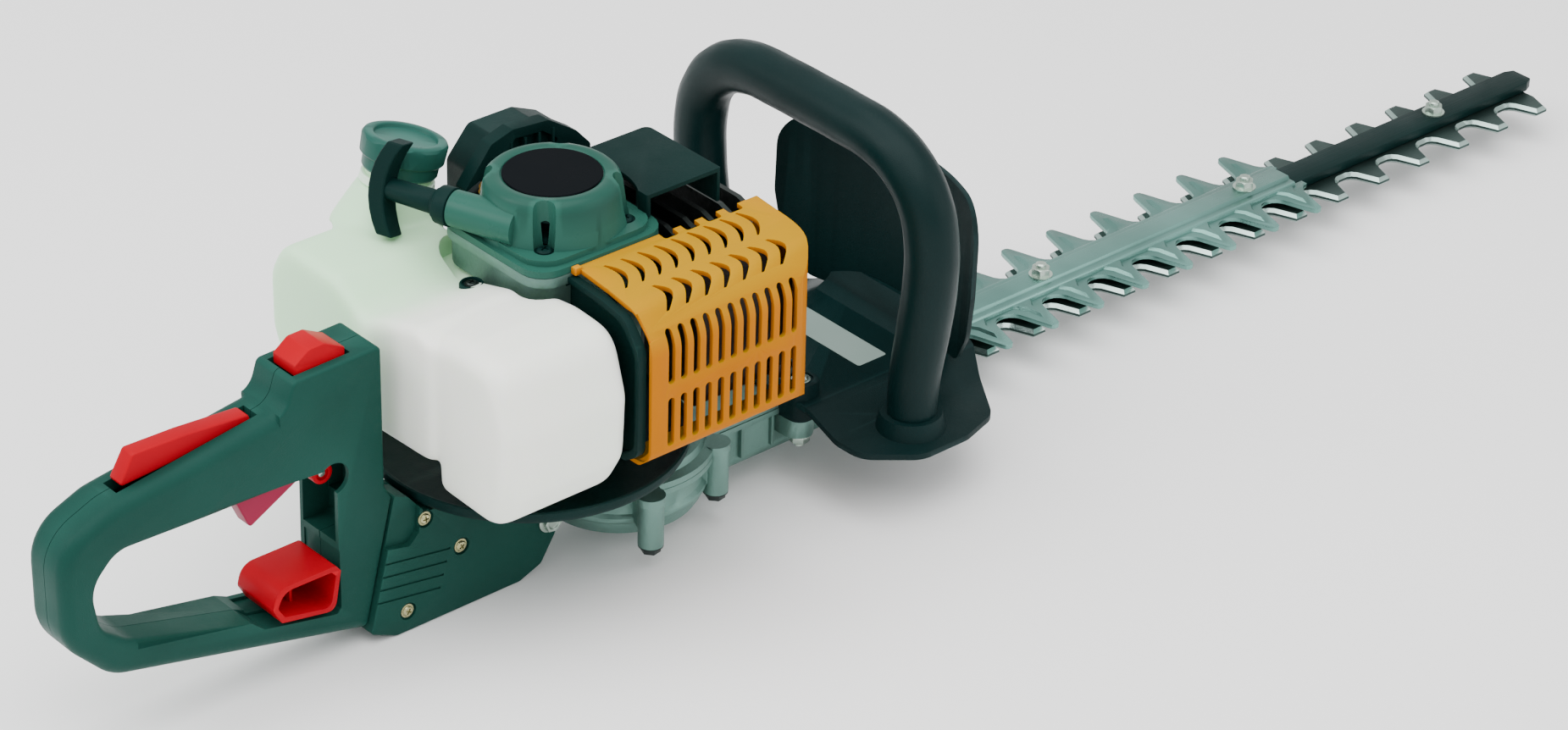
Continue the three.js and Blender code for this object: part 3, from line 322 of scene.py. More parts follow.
BRASS = Finish("brass", tone(0.42, 0.19, 0.03), tone(0.30, 0.13, 0.02), 0.25, 0.95, Grain.CAST, 0.15)
STEEL = Finish("dark_steel", tone(0.030, 0.038, 0.036), tone(0.018, 0.024, 0.023), 0.38, 0.85, Grain.CAST, 0.3)
HOT_STEEL = Finish("silencer_steel", tone(0.050, 0.042, 0.034), tone(0.025, 0.024, 0.022), 0.5, 0.8, Grain.CAST, 0.5)
DISC = Finish("disc_gloss", tone(0.0012, 0.0024, 0.0036), tone(0.001, 0.0018, 0.0026), 0.3, 0.0, Grain.GLOSS,
              0.05, gloss=0.02)
LABEL = Finish("label_film", tone(0.26, 0.34, 0.31), tone(0.22, 0.30, 0.27), 0.4, 0.0, Grain.GLOSS, 0.08)
RUBBER = Finish("rubber", tone(0.006, 0.010, 0.010), tone(0.004, 0.007, 0.007), 0.7, 0.0, Grain.SPARK, 0.5,
                gloss=0.15)
FOAM = Finish("foam", tone(0.016, 0.018, 0.018), tone(0.008, 0.009, 0.009), 0.95, 0.0, Grain.CLOTH, 1.0, gloss=0.1)
ROPE = Finish("rope", tone(0.60, 0.58, 0.50), tone(0.44, 0.42, 0.36), 0.85, 0.0, Grain.CLOTH, 0.8)

CARRIED_OVER: dict[str, Finish] = {
    "upper_blade_rod": STEEL, "lower_blade_rod": STEEL, "drive_gear": STEEL, "clutch_drum": STEEL,
    "clutch_shoe_front": STEEL, "clutch_shoe_rear": STEEL, "crankshaft": STEEL, "flywheel": CAST,
    "crankcase": CAST, "cylinder": STEEL, "piston": CAST, "spark_plug": ZINC, "spark_plug_boot": RUBBER,
    "ignition_coil": BLACK, "starter_reel": BLACK, "intake_insulator": BLACK,
    "carburettor": CAST, "choke_lever": BLACK, "primer_bulb": RUBBER, "air_filter": FOAM,
    "air_cleaner_knob": BLACK, "muffler": HOT_STEEL, "swivel_tube": STEEL,
}


# ---------------------------------------------------------------- the bench: shaping with Blender's tools


def alone(piece: Piece) -> None:
    """Select one piece only and make it the active one."""
    bpy.ops.object.select_all(action="DESELECT")
    piece.select_set(True)
    bpy.context.view_layer.objects.active = piece


def rounded(corners: list[Corner], steps: int = 5) -> list[Flat]:
    """Round the corners of a closed outline.

    Args:
        corners: Each corner with its radius, in mm.
        steps: Points along each round.

    Returns:
        The outline's points.
    """
    points: list[Flat] = []
    count = len(corners)
    for i, (u, v, radius) in enumerate(corners):
        here = Vector((u, v))
        if radius <= 0:
            points.append((u, v))
            continue
        back = (Vector(corners[i - 1][:2]) - here).normalized()
        ahead = (Vector(corners[(i + 1) % count][:2]) - here).normalized()
        half = math.acos(max(-1.0, min(1.0, back.dot(ahead)))) / 2
        reach = radius / math.tan(half)
        centre = here + (back + ahead).normalized() * (radius / math.sin(half))
        start = here + back * reach - centre
        turn = math.pi - 2 * half
        side = 1.0 if start.x * (here + ahead * reach - centre).y - start.y * (
            here + ahead * reach - centre).x > 0 else -1.0
        for step in range(steps + 1):
            angle = side * turn * step / steps
            swung = Vector((start.x * math.cos(angle) - start.y * math.sin(angle),
                            start.x * math.sin(angle) + start.y * math.cos(angle)))
            points.append((centre.x + swung.x, centre.y + swung.y))
    return points


def block(u: Flat, v: Flat, radius: float) -> list[Flat]:
    """A rectangle with rounded corners."""
    return rounded([(u[0], v[0], radius), (u[1], v[0], radius), (u[1], v[1], radius), (u[0], v[1], radius)])


def slab(name: str, outline: list[Flat], plane: Plane, depth: Flat) -> Piece:
    """Extrude an outline into a flat piece.

    Args:
        name: The piece's name.
        outline: The outline's points, in mm.
        plane: The plane that the outline is drawn in.
        depth: Where the piece starts and ends across that plane, in mm.

    Returns:
        The piece.
    """
    bpy.ops.object.select_all(action="DESELECT")
    bpy.ops.mesh.primitive_circle_add(vertices=len(outline), radius=1.0, fill_type="NGON")
    piece = bpy.context.object
    piece.name = name
    for vertex, (u, v) in zip(piece.data.vertices, outline):
        vertex.co = plane.place(u, v, depth[0])
    bpy.ops.object.mode_set(mode="EDIT")
    bpy.ops.mesh.select_all(action="SELECT")
    travel = plane.place(0.0, 0.0, depth[1] - depth[0])
    bpy.ops.mesh.extrude_region_move(TRANSFORM_OT_translate={"value": travel})
    bpy.ops.mesh.select_all(action="SELECT")
    bpy.ops.mesh.normals_make_consistent(inside=False)
    bpy.ops.object.mode_set(mode="OBJECT")
    settle(piece)
    return piece


def settle(piece: Piece) -> None:
    """Put the piece's origin at the machine's origin, unturned."""
    alone(piece)
    bpy.ops.object.transform_apply(location=True, rotation=True, scale=True)


def bar(name: str, start: Point, end: Point, radius: float, end_radius: float | None = None,
        sides: int = 32) -> Piece:
    """A round bar or a cone between two points.

    Args:
        name: The piece's name.
        start: The first end, in mm.
        end: The other end, in mm.
        radius: The radius at the start.
        end_radius: The radius at the end, if it differs.
        sides: The number of sides.

    Returns:
        The piece.
    """
    a = Vector(start) * MM
    b = Vector(end) * MM
    turn = (b - a).to_track_quat("Z", "Y").to_euler()
    bpy.ops.object.select_all(action="DESELECT")
    bpy.ops.mesh.primitive_cone_add(
        vertices=sides, radius1=radius * MM, radius2=(radius if end_radius is None else end_radius) * MM,
        depth=(b - a).length, location=(a + b) / 2, rotation=turn)
    piece = bpy.context.object
    piece.name = name
    settle(piece)
    return piece


def turned(name: str, profile: list[Flat], centre: Flat, steps: int = 64) -> Piece:
    """Turn a closed profile about an upright axis.

    Args:
        name: The piece's name.
        profile: Radius and height of each point, in mm.
        centre: Where the axis stands.
        steps: Facets round the axis.

    Returns:
        The piece.
    """
    bpy.ops.object.select_all(action="DESELECT")
    bpy.ops.mesh.primitive_circle_add(vertices=len(profile), radius=1.0, fill_type="NOTHING")
    piece = bpy.context.object
    piece.name = name
    for vertex, (radius, height) in zip(piece.data.vertices, profile):
        vertex.co = Vector((centre[0] + radius, centre[1], height)) * MM
    bpy.ops.object.mode_set(mode="EDIT")
    bpy.ops.mesh.select_all(action="SELECT")
    bpy.ops.mesh.spin(steps=steps, angle=2 * math.pi, center=Vector((centre[0], centre[1], 0.0)) * MM,
                      axis=(0.0, 0.0, 1.0))
    bpy.ops.mesh.select_all(action="SELECT")
    bpy.ops.mesh.remove_doubles(threshold=0.00001)
    bpy.ops.mesh.normals_make_consistent(inside=False)
    bpy.ops.object.mode_set(mode="OBJECT")
    settle(piece)
    return piece


def tube(name: str, path: list[Point], radius: float, smooth: bool = True) -> Piece:
    """A round tube along a path.

    Args:
        name: The piece's name.
        path: The points that it runs through, in mm.
        radius: The tube's radius.
        smooth: True for one smooth curve, False for straight runs.

    Returns:
        The piece.
    """
    bpy.ops.object.select_all(action="DESELECT")
    bpy.ops.curve.primitive_nurbs_path_add(radius=1.0)
    piece = bpy.context.object
    piece.name = name
    curve = piece.data
    curve.splines.clear()
    spline = curve.splines.new("BEZIER")
    spline.bezier_points.add(len(path) - 1)
    for knot, place in zip(spline.bezier_points, path):
        knot.co = Vector(place) * MM
        knot.handle_left_type = knot.handle_right_type = "AUTO" if smooth else "VECTOR"
    spline.resolution_u = 10
    curve.dimensions = "3D"
    curve.bevel_depth = radius * MM
    curve.bevel_resolution = 6
    curve.use_fill_caps = True
    alone(piece)
    bpy.ops.object.convert(target="MESH")
    piece = bpy.context.object
    bpy.ops.object.mode_set(mode="EDIT")
    bpy.ops.mesh.select_all(action="SELECT")
    bpy.ops.mesh.remove_doubles(threshold=0.00001)
    bpy.ops.mesh.normals_make_consistent(inside=False)
    bpy.ops.object.mode_set(mode="OBJECT")
    settle(piece)
    return piece


def apply(piece: Piece, kind: str, **settings: object) -> None:
    """Add a modifier with these settings and apply it."""
    alone(piece)
    modifier = piece.modifiers.new(kind.lower(), kind)
    for key, value in settings.items():
        setattr(modifier, key, value)
    bpy.ops.object.modifier_apply(modifier=modifier.name)


def combine(piece: Piece, tools: list[Piece], operation: str) -> Piece:
    """Add, cut or intersect a piece with tools, which are used up."""
    for tool in tools:
        apply(piece, "BOOLEAN", object=tool, operation=operation, solver="EXACT")
        bpy.data.objects.remove(tool)
    return piece


def cut(piece: Piece, *tools: Piece) -> Piece:
    """Cut the tools out of a piece."""
    return combine(piece, list(tools), "DIFFERENCE")


def fuse(piece: Piece, *others: Piece) -> Piece:
    """Fuse pieces into the first one."""
    return combine(piece, list(others), "UNION")


def common(piece: Piece, *others: Piece) -> Piece:
    """Keep only what pieces share."""
    return combine(piece, list(others), "INTERSECT")


def gather(piece: Piece, *others: Piece) -> Piece:
    """Join pieces into one object without cutting them."""
    bpy.ops.object.select_all(action="DESELECT")
    for other in others:
        other.select_set(True)
    piece.select_set(True)
    bpy.context.view_layer.objects.active = piece
    bpy.ops.object.join()
    return piece


def soften(piece: Piece, width: float, segments: int = 3, angle: float = 35.0) -> Piece:
    """Round the edges that are sharper than an angle, and shade the piece smooth."""
    apply(piece, "BEVEL", width=width * MM, segments=segments, limit_method="ANGLE",
          angle_limit=math.radians(angle), use_clamp_overlap=True, miter_outer="MITER_ARC")
    return shade(piece)


def shade(piece: Piece, angle: float = 40.0) -> Piece:
    """Shade a piece smooth, apart from its sharp edges."""
    alone(piece)
    bpy.ops.object.shade_smooth_by_angle(angle=math.radians(angle))
    return piece


def mirrored(piece: Piece, name: str) -> Piece:
    """A copy of a piece on the machine's other side."""
    copy = duplicate(piece, name)
    copy.data.transform(Matrix.Scale(-1.0, 4, (0.0, 1.0, 0.0)))
    alone(copy)
    bpy.ops.object.mode_set(mode="EDIT")
    bpy.ops.mesh.select_all(action="SELECT")
    bpy.ops.mesh.normals_make_consistent(inside=False)
    bpy.ops.object.mode_set(mode="OBJECT")
    return copy


def duplicate(piece: Piece, name: str) -> Piece:
    """A copy of a piece with a mesh of its own."""
    copy = piece.copy()
    copy.data = piece.data.copy()
    copy.name = name
    bpy.context.scene.collection.objects.link(copy)
    return copy


def copy_to(piece: Piece, name: str, place: Point, facing: Point = (0.0, 0.0, 1.0), spin: float = 0.0) -> Piece:
    """A copy of a piece that was modelled facing up at the origin.

    Args:
        piece: The model.
        name: The copy's name.
        place: Where it goes, in mm.
        facing: The way that it faces.
        spin: How far it is turned about that, in degrees.

    Returns:
        The copy.
    """
    copy = duplicate(piece, name)
    turn = Vector(facing).to_track_quat("Z", "Y").to_matrix().to_4x4()
    about = Matrix.Rotation(math.radians(spin), 4, "Z")
    copy.data.transform(Matrix.Translation(Vector(place) * MM) @ turn @ about)
    return copy


def dress(piece: Piece, finish: Finish, body: str, slot: str, *nodes: str) -> Piece:
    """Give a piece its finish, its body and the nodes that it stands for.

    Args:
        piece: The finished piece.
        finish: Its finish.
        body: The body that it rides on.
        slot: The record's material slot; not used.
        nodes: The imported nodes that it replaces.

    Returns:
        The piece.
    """
    if not piece.data.materials:
        piece.data.materials.append(finish.material())
    piece.data.materials[0] = finish.material()
    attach(piece, body)
    if nodes:
        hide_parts(*nodes)
    LOG.info("made %s", piece.name)
    return piece


# ---------------------------------------------------------------- fasteners


@dataclass
class Fasteners:
    """Screws, nuts and bolts, each modelled once and copied."""

    models: dict[str, Piece] = field(default_factory=dict)

    def build(self) -> None:
        """Model one of each, facing up, with its seat at the origin."""
        self.models["pan"] = self._pan_screw(4.0, 2.6)
        self.models["small"] = self._pan_screw(2.9, 2.0)
        self.models["nut"] = self._nut(5.6, 5.2, 3.0)
        self.models["hex"] = self._hex_head(5.4, 4.2)

    def _pan_screw(self, radius: float, height: float) -> Piece:
        """A cross-recessed screw with a domed head on a washer."""
        head = turned("pan_screw", [(0.0, 0.0), (radius * 1.3, 0.0), (radius * 1.3, 0.7), (radius, 0.8),
                                    (radius, height * 0.55), (radius * 0.8, height * 0.9),
                                    (radius * 0.4, height), (0.0, height * 1.02)], (0.0, 0.0), 28)
        arm = radius * 0.62
        slit = radius * 0.15
        cross = slab("cross", block((-arm, arm), (-slit, slit), slit * 0.6), Plane.PLAN, (height * 0.4, 9.0))
        other = slab("cross_two", block((-slit, slit), (-arm, arm), slit * 0.6), Plane.PLAN,
                     (height * 0.4, 9.0))
        return shade(cut(head, cross, other), 30.0)

    def _nut(self, radius: float, height: float, bolt: float) -> Piece:
        """A hexagon nut on a washer, with the bolt's end standing out."""
        nut = bar("nut", (0.0, 0.0, 0.6), (0.0, 0.0, height), radius, sides=6)
        cone = turned("nut_cone", [(0.0, -1.0), (radius * 1.2, -1.0), (radius * 1.2, height - 1.6),
                                   (radius * 0.8, height + 0.1), (0.0, height + 0.1)], (0.0, 0.0), 36)
        nut = common(nut, cone)
        washer = turned("washer", [(0.0, 0.0), (radius * 1.2, 0.0), (radius * 1.2, 0.8), (0.0, 0.8)],
                        (0.0, 0.0), 36)
        end = turned("bolt_end", [(0.0, 0.0), (bolt, 0.0), (bolt, height + 1.8), (bolt * 0.7, height + 2.4),
                                  (0.0, height + 2.4)], (0.0, 0.0), 24)
        return shade(gather(soften(nut, 0.2, 1), washer, end), 30.0)

    def _hex_head(self, radius: float, height: float) -> Piece:
        """A hexagon bolt head with a flange and a dished top."""
        head = bar("hex_head", (0.0, 0.0, 0.8), (0.0, 0.0, height), radius, sides=6)
        dish = turned("hex_dish", [(0.0, height - 0.9), (radius * 0.55, height - 0.9),
                                   (radius * 0.7, height + 1.0), (0.0, height + 1.0)], (0.0, 0.0), 28)
        flange = turned("hex_flange", [(0.0, 0.0), (radius * 1.25, 0.0), (radius * 1.25, 0.6),
                                       (radius * 0.95, 1.2), (0.0, 1.2)], (0.0, 0.0), 32)
        return shade(gather(soften(cut(head, dish), 0.25, 1), flange), 30.0)

    def put(self, kind: str, name: str, place: Point, facing: Point, finish: Finish, body: str,
            spin: float = 20.0, nodes: tuple[str, ...] = ()) -> Piece:
        """Set a copy of a fastener in its place."""
        copy = copy_to(self.models[kind], name, place, facing, spin)
        slot = "black_plastic" if finish is BLACK else "zinc_steel"
        return dress(copy, finish, body, slot, *nodes)

    def clear(self) -> None:
        """Remove the models."""
        for model in self.models.values():
            bpy.data.objects.remove(model)
        self.models.clear()


# ---------------------------------------------------------------- cutter


@dataclass
class Cutter:
    """The guide bar, both blades, the tooth guard and the bolts through them."""

    fasteners: Fasteners
    pitch: float = 35.0
    first_tooth: float = 24.0
    teeth: int = 15
    first_guard_tooth: float = 27.0
    guard_teeth: int = 9
    bolts: tuple[tuple[str, float, float], ...] = (
        ("bar_bolt_root", 122.5, 34.6), ("bar_bolt_middle", 285.5, 34.6), ("bar_bolt_tip", 448.5, 30.1))

    def build(self) -> None:
        """Make the cutter."""
        self._bar()
        self._blade("upper_blade", (21.1, 23.6), -80.0, True)
        self._blade("lower_blade", (18.3, 20.8), -112.0, False)
        self._tooth_guard()
        for name, x, seat in self.bolts:
            self._bolt(name, x, seat)

    def _comb(self, first: float, count: int, span: Flat, root: float, tooth: list[Flat]) -> list[Flat]:
        """The outline of a strip with teeth on both sides."""
        near = [(first + i * self.pitch + u, -v) for i in range(count) for u, v in tooth]
        far = [(u, -v) for u, v in reversed(near)]
        return [(span[0], -root), *near, (span[1], -root), (span[1], root), *far, (span[0], root)]

    def _bar(self) -> None:
        """The guide bar that the blades slide under."""
        outline = rounded([(-40.0, -9.3, 0.0), (523.0, -9.3, 1.0), (529.0, -6.8, 1.0), (529.0, 6.8, 1.0),
                           (523.0, 9.3, 1.0), (-40.0, 9.3, 0.0)], 3)
        piece = slab("visual_guide_bar", outline, Plane.PLAN, (24.0, 30.0))
        dress(soften(piece, 0.5, 2), BAR, "chassis", "bar_steel", "guide_bar")

    def _blade(self, node: str, z: Flat, tail: float, upper: bool) -> None:
        """One blade, with its teeth ground to a bevel and square at their tips."""
        half = [(4.4, 30.0), (8.4, 19.6), (9.6, 16.6), (11.6, 14.4), (14.2, 13.2)]
        tooth = [(-u, v) for u, v in reversed(half)] + half
        last = self.first_tooth + (self.teeth - 1) * self.pitch
        outline = self._comb(self.first_tooth, self.teeth, (2.0, last + 14.8), 12.9, tooth)
        trimmed = [(min(u, 523.5), v) for u, v in outline]
        piece = slab("visual_" + node, trimmed, Plane.PLAN, z)
        tail_strip = slab("tail", block((tail, 8.0), (-9.0, 9.0), 3.0), Plane.PLAN, z)
        piece = fuse(piece, tail_strip)
        for name, x, _ in self.bolts:
            slot = slab(name + "_slot", block((x - 11.8, x + 11.8), (-3.4, 3.4), 3.3), Plane.PLAN,
                        (z[0] - 1.0, z[1] + 1.0))
            piece = cut(piece, slot)
        piece.data.materials.append(BLADE.material())
        piece.data.materials.append(GROUND.material())
        self._grind(piece, z[1] if upper else z[0])
        dress(shade(piece, 20.0), BLADE, node, "blade_steel", node)

    def _grind(self, piece: Piece, height: float) -> None:
        """Grind the bevel along the teeth, on one face."""
        alone(piece)
        bpy.ops.object.mode_set(mode="EDIT")
        bpy.ops.mesh.select_all(action="DESELECT")
        bpy.ops.object.mode_set(mode="OBJECT")
        points = piece.data.vertices
        for edge in piece.data.edges:
            ends = [points[i].co / MM for i in edge.vertices]
            on_face = all(abs(p.z - height) < 0.05 for p in ends)
            on_tooth = all(abs(p.y) > 12.8 for p in ends) and min(abs(p.y) for p in ends) < 29.9
            edge.select = on_face and on_tooth and all(p.x > 3.0 for p in ends)
        bpy.ops.object.mode_set(mode="EDIT")
        bpy.ops.mesh.select_mode(type="EDGE")
        bpy.ops.mesh.bevel(offset=1.9 * MM, offset_type="OFFSET", segments=1, affect="EDGES", material=1,
                           clamp_overlap=True)
        bpy.ops.mesh.select_mode(type="VERT")
        bpy.ops.object.mode_set(mode="OBJECT")

    def _tooth_guard(self) -> None:
        """The stamped guard: a channel over the bar, and blunt teeth each with a raised rib."""
        half = [(1.3, 39.9), (2.6, 39.0), (3.6, 36.8), (8.6, 20.0), (10.4, 17.0), (13.0, 15.0), (16.0, 14.2)]
        tooth = [(-u, v) for u, v in reversed(half)] + half
        piece = slab("visual_tooth_guard", self._comb(self.first_guard_tooth, self.guard_teeth, (10.4, 323.8),
                                                      14.0, tooth), Plane.PLAN, (27.5, 30.0))
        cap = slab("cap", rounded([(-12.5, 27.5, 0), (12.5, 27.5, 0), (12.0, 32.8, 1.4), (7.2, 32.8, 1.0),
                                   (6.2, 34.5, 0.8), (-6.2, 34.5, 0.8), (-7.2, 32.8, 1.0),
                                   (-12.0, 32.8, 1.4)], 3), Plane.END, (12.0, 316.0))
        piece = fuse(piece, cap)
        for i in range(self.guard_teeth):
            x = self.first_guard_tooth + i * self.pitch
            for side in (-1.0, 1.0):
                piece = fuse(piece, self._rib(x, side))
        channel = slab("channel", block((-9.7, 9.7), (10.0, 30.4), 0.5), Plane.END, (-50.0, 400.0))
        piece = soften(cut(piece, channel), 0.35, 2, 30.0)
        dress(piece, STAMPED, "chassis", "stamped_aluminium", "tooth_guard")

    def _rib(self, x: float, side: float) -> Piece:
        """The raised wedge that stiffens one tooth's root."""
        outline = [(x - 8.4, side * 11.0), (x - 4.6, side * 17.5), (x - 1.0, side * 33.0),
                   (x + 1.0, side * 33.0), (x + 4.6, side * 17.5), (x + 8.4, side * 11.0)]
        rib = slab("rib", outline, Plane.PLAN, (29.0, 31.6))
        alone(rib)
        top = [v for v in rib.data.vertices if v.co.z > 31.0 * MM]
        for vertex in top:
            shrink = 0.45 if abs(vertex.co.y) > 12.0 * MM else 0.8
            vertex.co.x = x * MM + (vertex.co.x - x * MM) * shrink
            if abs(vertex.co.y) > 30.0 * MM:
                vertex.co.y = side * 27.0 * MM
        return rib

    def _bolt(self, name: str, x: float, seat: float) -> None:
        """A bolt right through, with its head below and its nut on top."""
        shank = bar(name + "_shank", (x, 0.0, 14.6), (x, 0.0, seat + 0.4), 2.9, sides=20)
        head = turned(name + "_head", [(0.0, 14.2), (4.0, 14.2), (6.2, 15.4), (6.4, 18.0), (0.0, 18.0)],
                      (x, 0.0), 32)
        nut = copy_to(self.fasteners.models["nut"], name + "_nut", (x, 0.0, seat), spin=12.0)
        piece = shade(gather(shank, head, nut), 30.0)
        piece.name = "visual_" + name
        dress(piece, ZINC, "chassis", "zinc_steel", name)


# ---------------------------------------------------------------- gear case


@dataclass
class GearCase:
    """The cast case, in two halves, that holds the gear, the clutch and the tail of the blades."""

    fasteners: Fasteners
    gear: Flat = (-181.25, 0.0)
    crank: Flat = (-224.0, 0.0)
    ears: tuple[Flat, ...] = ((-204.0, -54.0), (-204.0, 54.0), (-145.0, -35.5), (-145.0, 35.5))

    def build(self) -> None:
        """Make both halves and the screws in their ears."""
        self._lower()
        self._upper()
        for i, (x, y) in enumerate(self.ears):
            self.fasteners.put("hex", f"case_screw_{i}", (x, y, 16.8), (0.0, 0.0, -1.0), STEEL, "chassis")

    def _ear(self, x: float, y: float, z: Flat, radius: float) -> Piece:
        """One ear with its web to the case."""
        ear = bar("ear", (x, y, z[0]), (x, y, z[1]), radius, sides=28)
        toward = Vector((self.gear[0] - x, self.gear[1] - y)).normalized()
        side = Vector((-toward.y, toward.x)) * radius * 0.82
        tip = Vector((x, y))
        root = tip + toward * 26.0
        web = slab("web", [tuple(tip + side), tuple(tip - side), tuple(root - side), tuple(root + side)],
                   Plane.PLAN, (z[0] + 7.0 if z[1] < 42.0 else z[0], z[1] - 0.1))
        return fuse(ear, web)

    def _lower(self) -> None:
        """The lower half, with the nose that runs forward under the plate."""
        top = 41.8
        x, y = self.gear
        bowl = turned("visual_gear_case_lower", [
            (0.0, 12.0), (36.0, 12.0), (41.5, 13.6), (44.0, 17.5), (44.6, 21.0), (46.6, 23.0), (46.6, 25.2),
            (44.6, 27.0), (44.6, 37.0), (50.0, 38.6), (50.0, top), (0.0, top)], (x, y), 72)
        nose = slab("nose", rounded([(-22.0, 14.5, 3.0), (22.0, 14.5, 3.0), (22.0, 38.0, 0.0),
                                     (25.5, 38.6, 0.5), (25.5, top, 0.0), (-25.5, top, 0.0),
                                     (-25.5, 38.6, 0.5), (-22.0, 38.0, 0.0)], 4), Plane.END, (x, 1.8))
        boss = bar("boss", (*self.crank, 26.0), (*self.crank, top), 17.0, sides=48)
        lug = slab("lug", block((-13.6, 13.6), (20.0, top), 2.0), Plane.END, (-261.8, -224.0))
        piece = fuse(bowl, nose, boss, lug)
        for ex, ey in self.ears:
            piece = fuse(piece, self._ear(ex, ey, (17.0, top), 6.8))
        for side in (-1.0, 1.0):
            arm = slab("arm", rounded([(-93.0, side * 20.0, 0.0), (-93.0, side * 34.0, 8.0),
                                       (-84.0, side * 41.0, 7.0), (-75.0, side * 34.0, 8.0),
                                       (-75.0, side * 20.0, 0.0)], 5), Plane.PLAN, (27.0, 38.0))
            piece = fuse(piece, arm)
        tunnel = slab("tunnel", block((-17.0, 17.0), (17.0, 50.0), 1.0), Plane.END, (x, 9.0))
        well = bar("well", (x, y, 15.5), (x, y, 60.0), 40.4, sides=64)
        piece = cut(piece, tunnel, well)
        for i in range(5):
            rib = slab("rib", block((-118.0 + i * 21.0, -116.0 + i * 21.0), (-24.6, 24.6), 0.5), Plane.PLAN,
                       (20.0, 39.0))
            hollow = slab("rib_well", block((-119.0 + i * 21.0, -115.0 + i * 21.0), (-20.0, 20.0), 0.0),
                          Plane.PLAN, (10.0, 45.0))
            piece = fuse(piece, cut(rib, hollow))
        dress(soften(piece, 0.9, 2, 32.0), CAST, "chassis", "cast_aluminium", "gear_case_lower")

    def _upper(self) -> None:
        """The upper half, which carries the clutch housing."""
        x, y = self.gear
        lid = turned("visual_gear_case_upper", [
            (0.0, 42.1), (50.0, 42.1), (50.0, 45.6), (45.0, 47.0), (44.0, 51.0), (42.0, 52.0), (0.0, 52.0)],
            (x, y), 72)
        cup = turned("cup", [(0.0, 42.1), (40.0, 42.1), (40.0, 60.0), (38.6, 62.0), (0.0, 62.0)], self.crank,
                     64)
        nose = slab("nose", block((x, 1.8), (-25.0, 25.0), 1.0), Plane.PLAN, (42.1, 46.0))
        piece = fuse(lid, cup, nose)
        for ex, ey in self.ears:
            piece = fuse(piece, self._ear(ex, ey, (42.1, 46.6), 7.6))
        room = bar("room", (*self.crank, 45.0), (*self.crank, 80.0), 33.0, sides=56)
        shaft = bar("shaft", (x, y, 30.0), (x, y, 48.0), 7.3, sides=32)
        piece = soften(cut(piece, room, shaft), 0.8, 2, 32.0)
        dress(piece, CAST, "chassis", "cast_aluminium", "gear_case_upper")


# ---------------------------------------------------------------- engine and starter


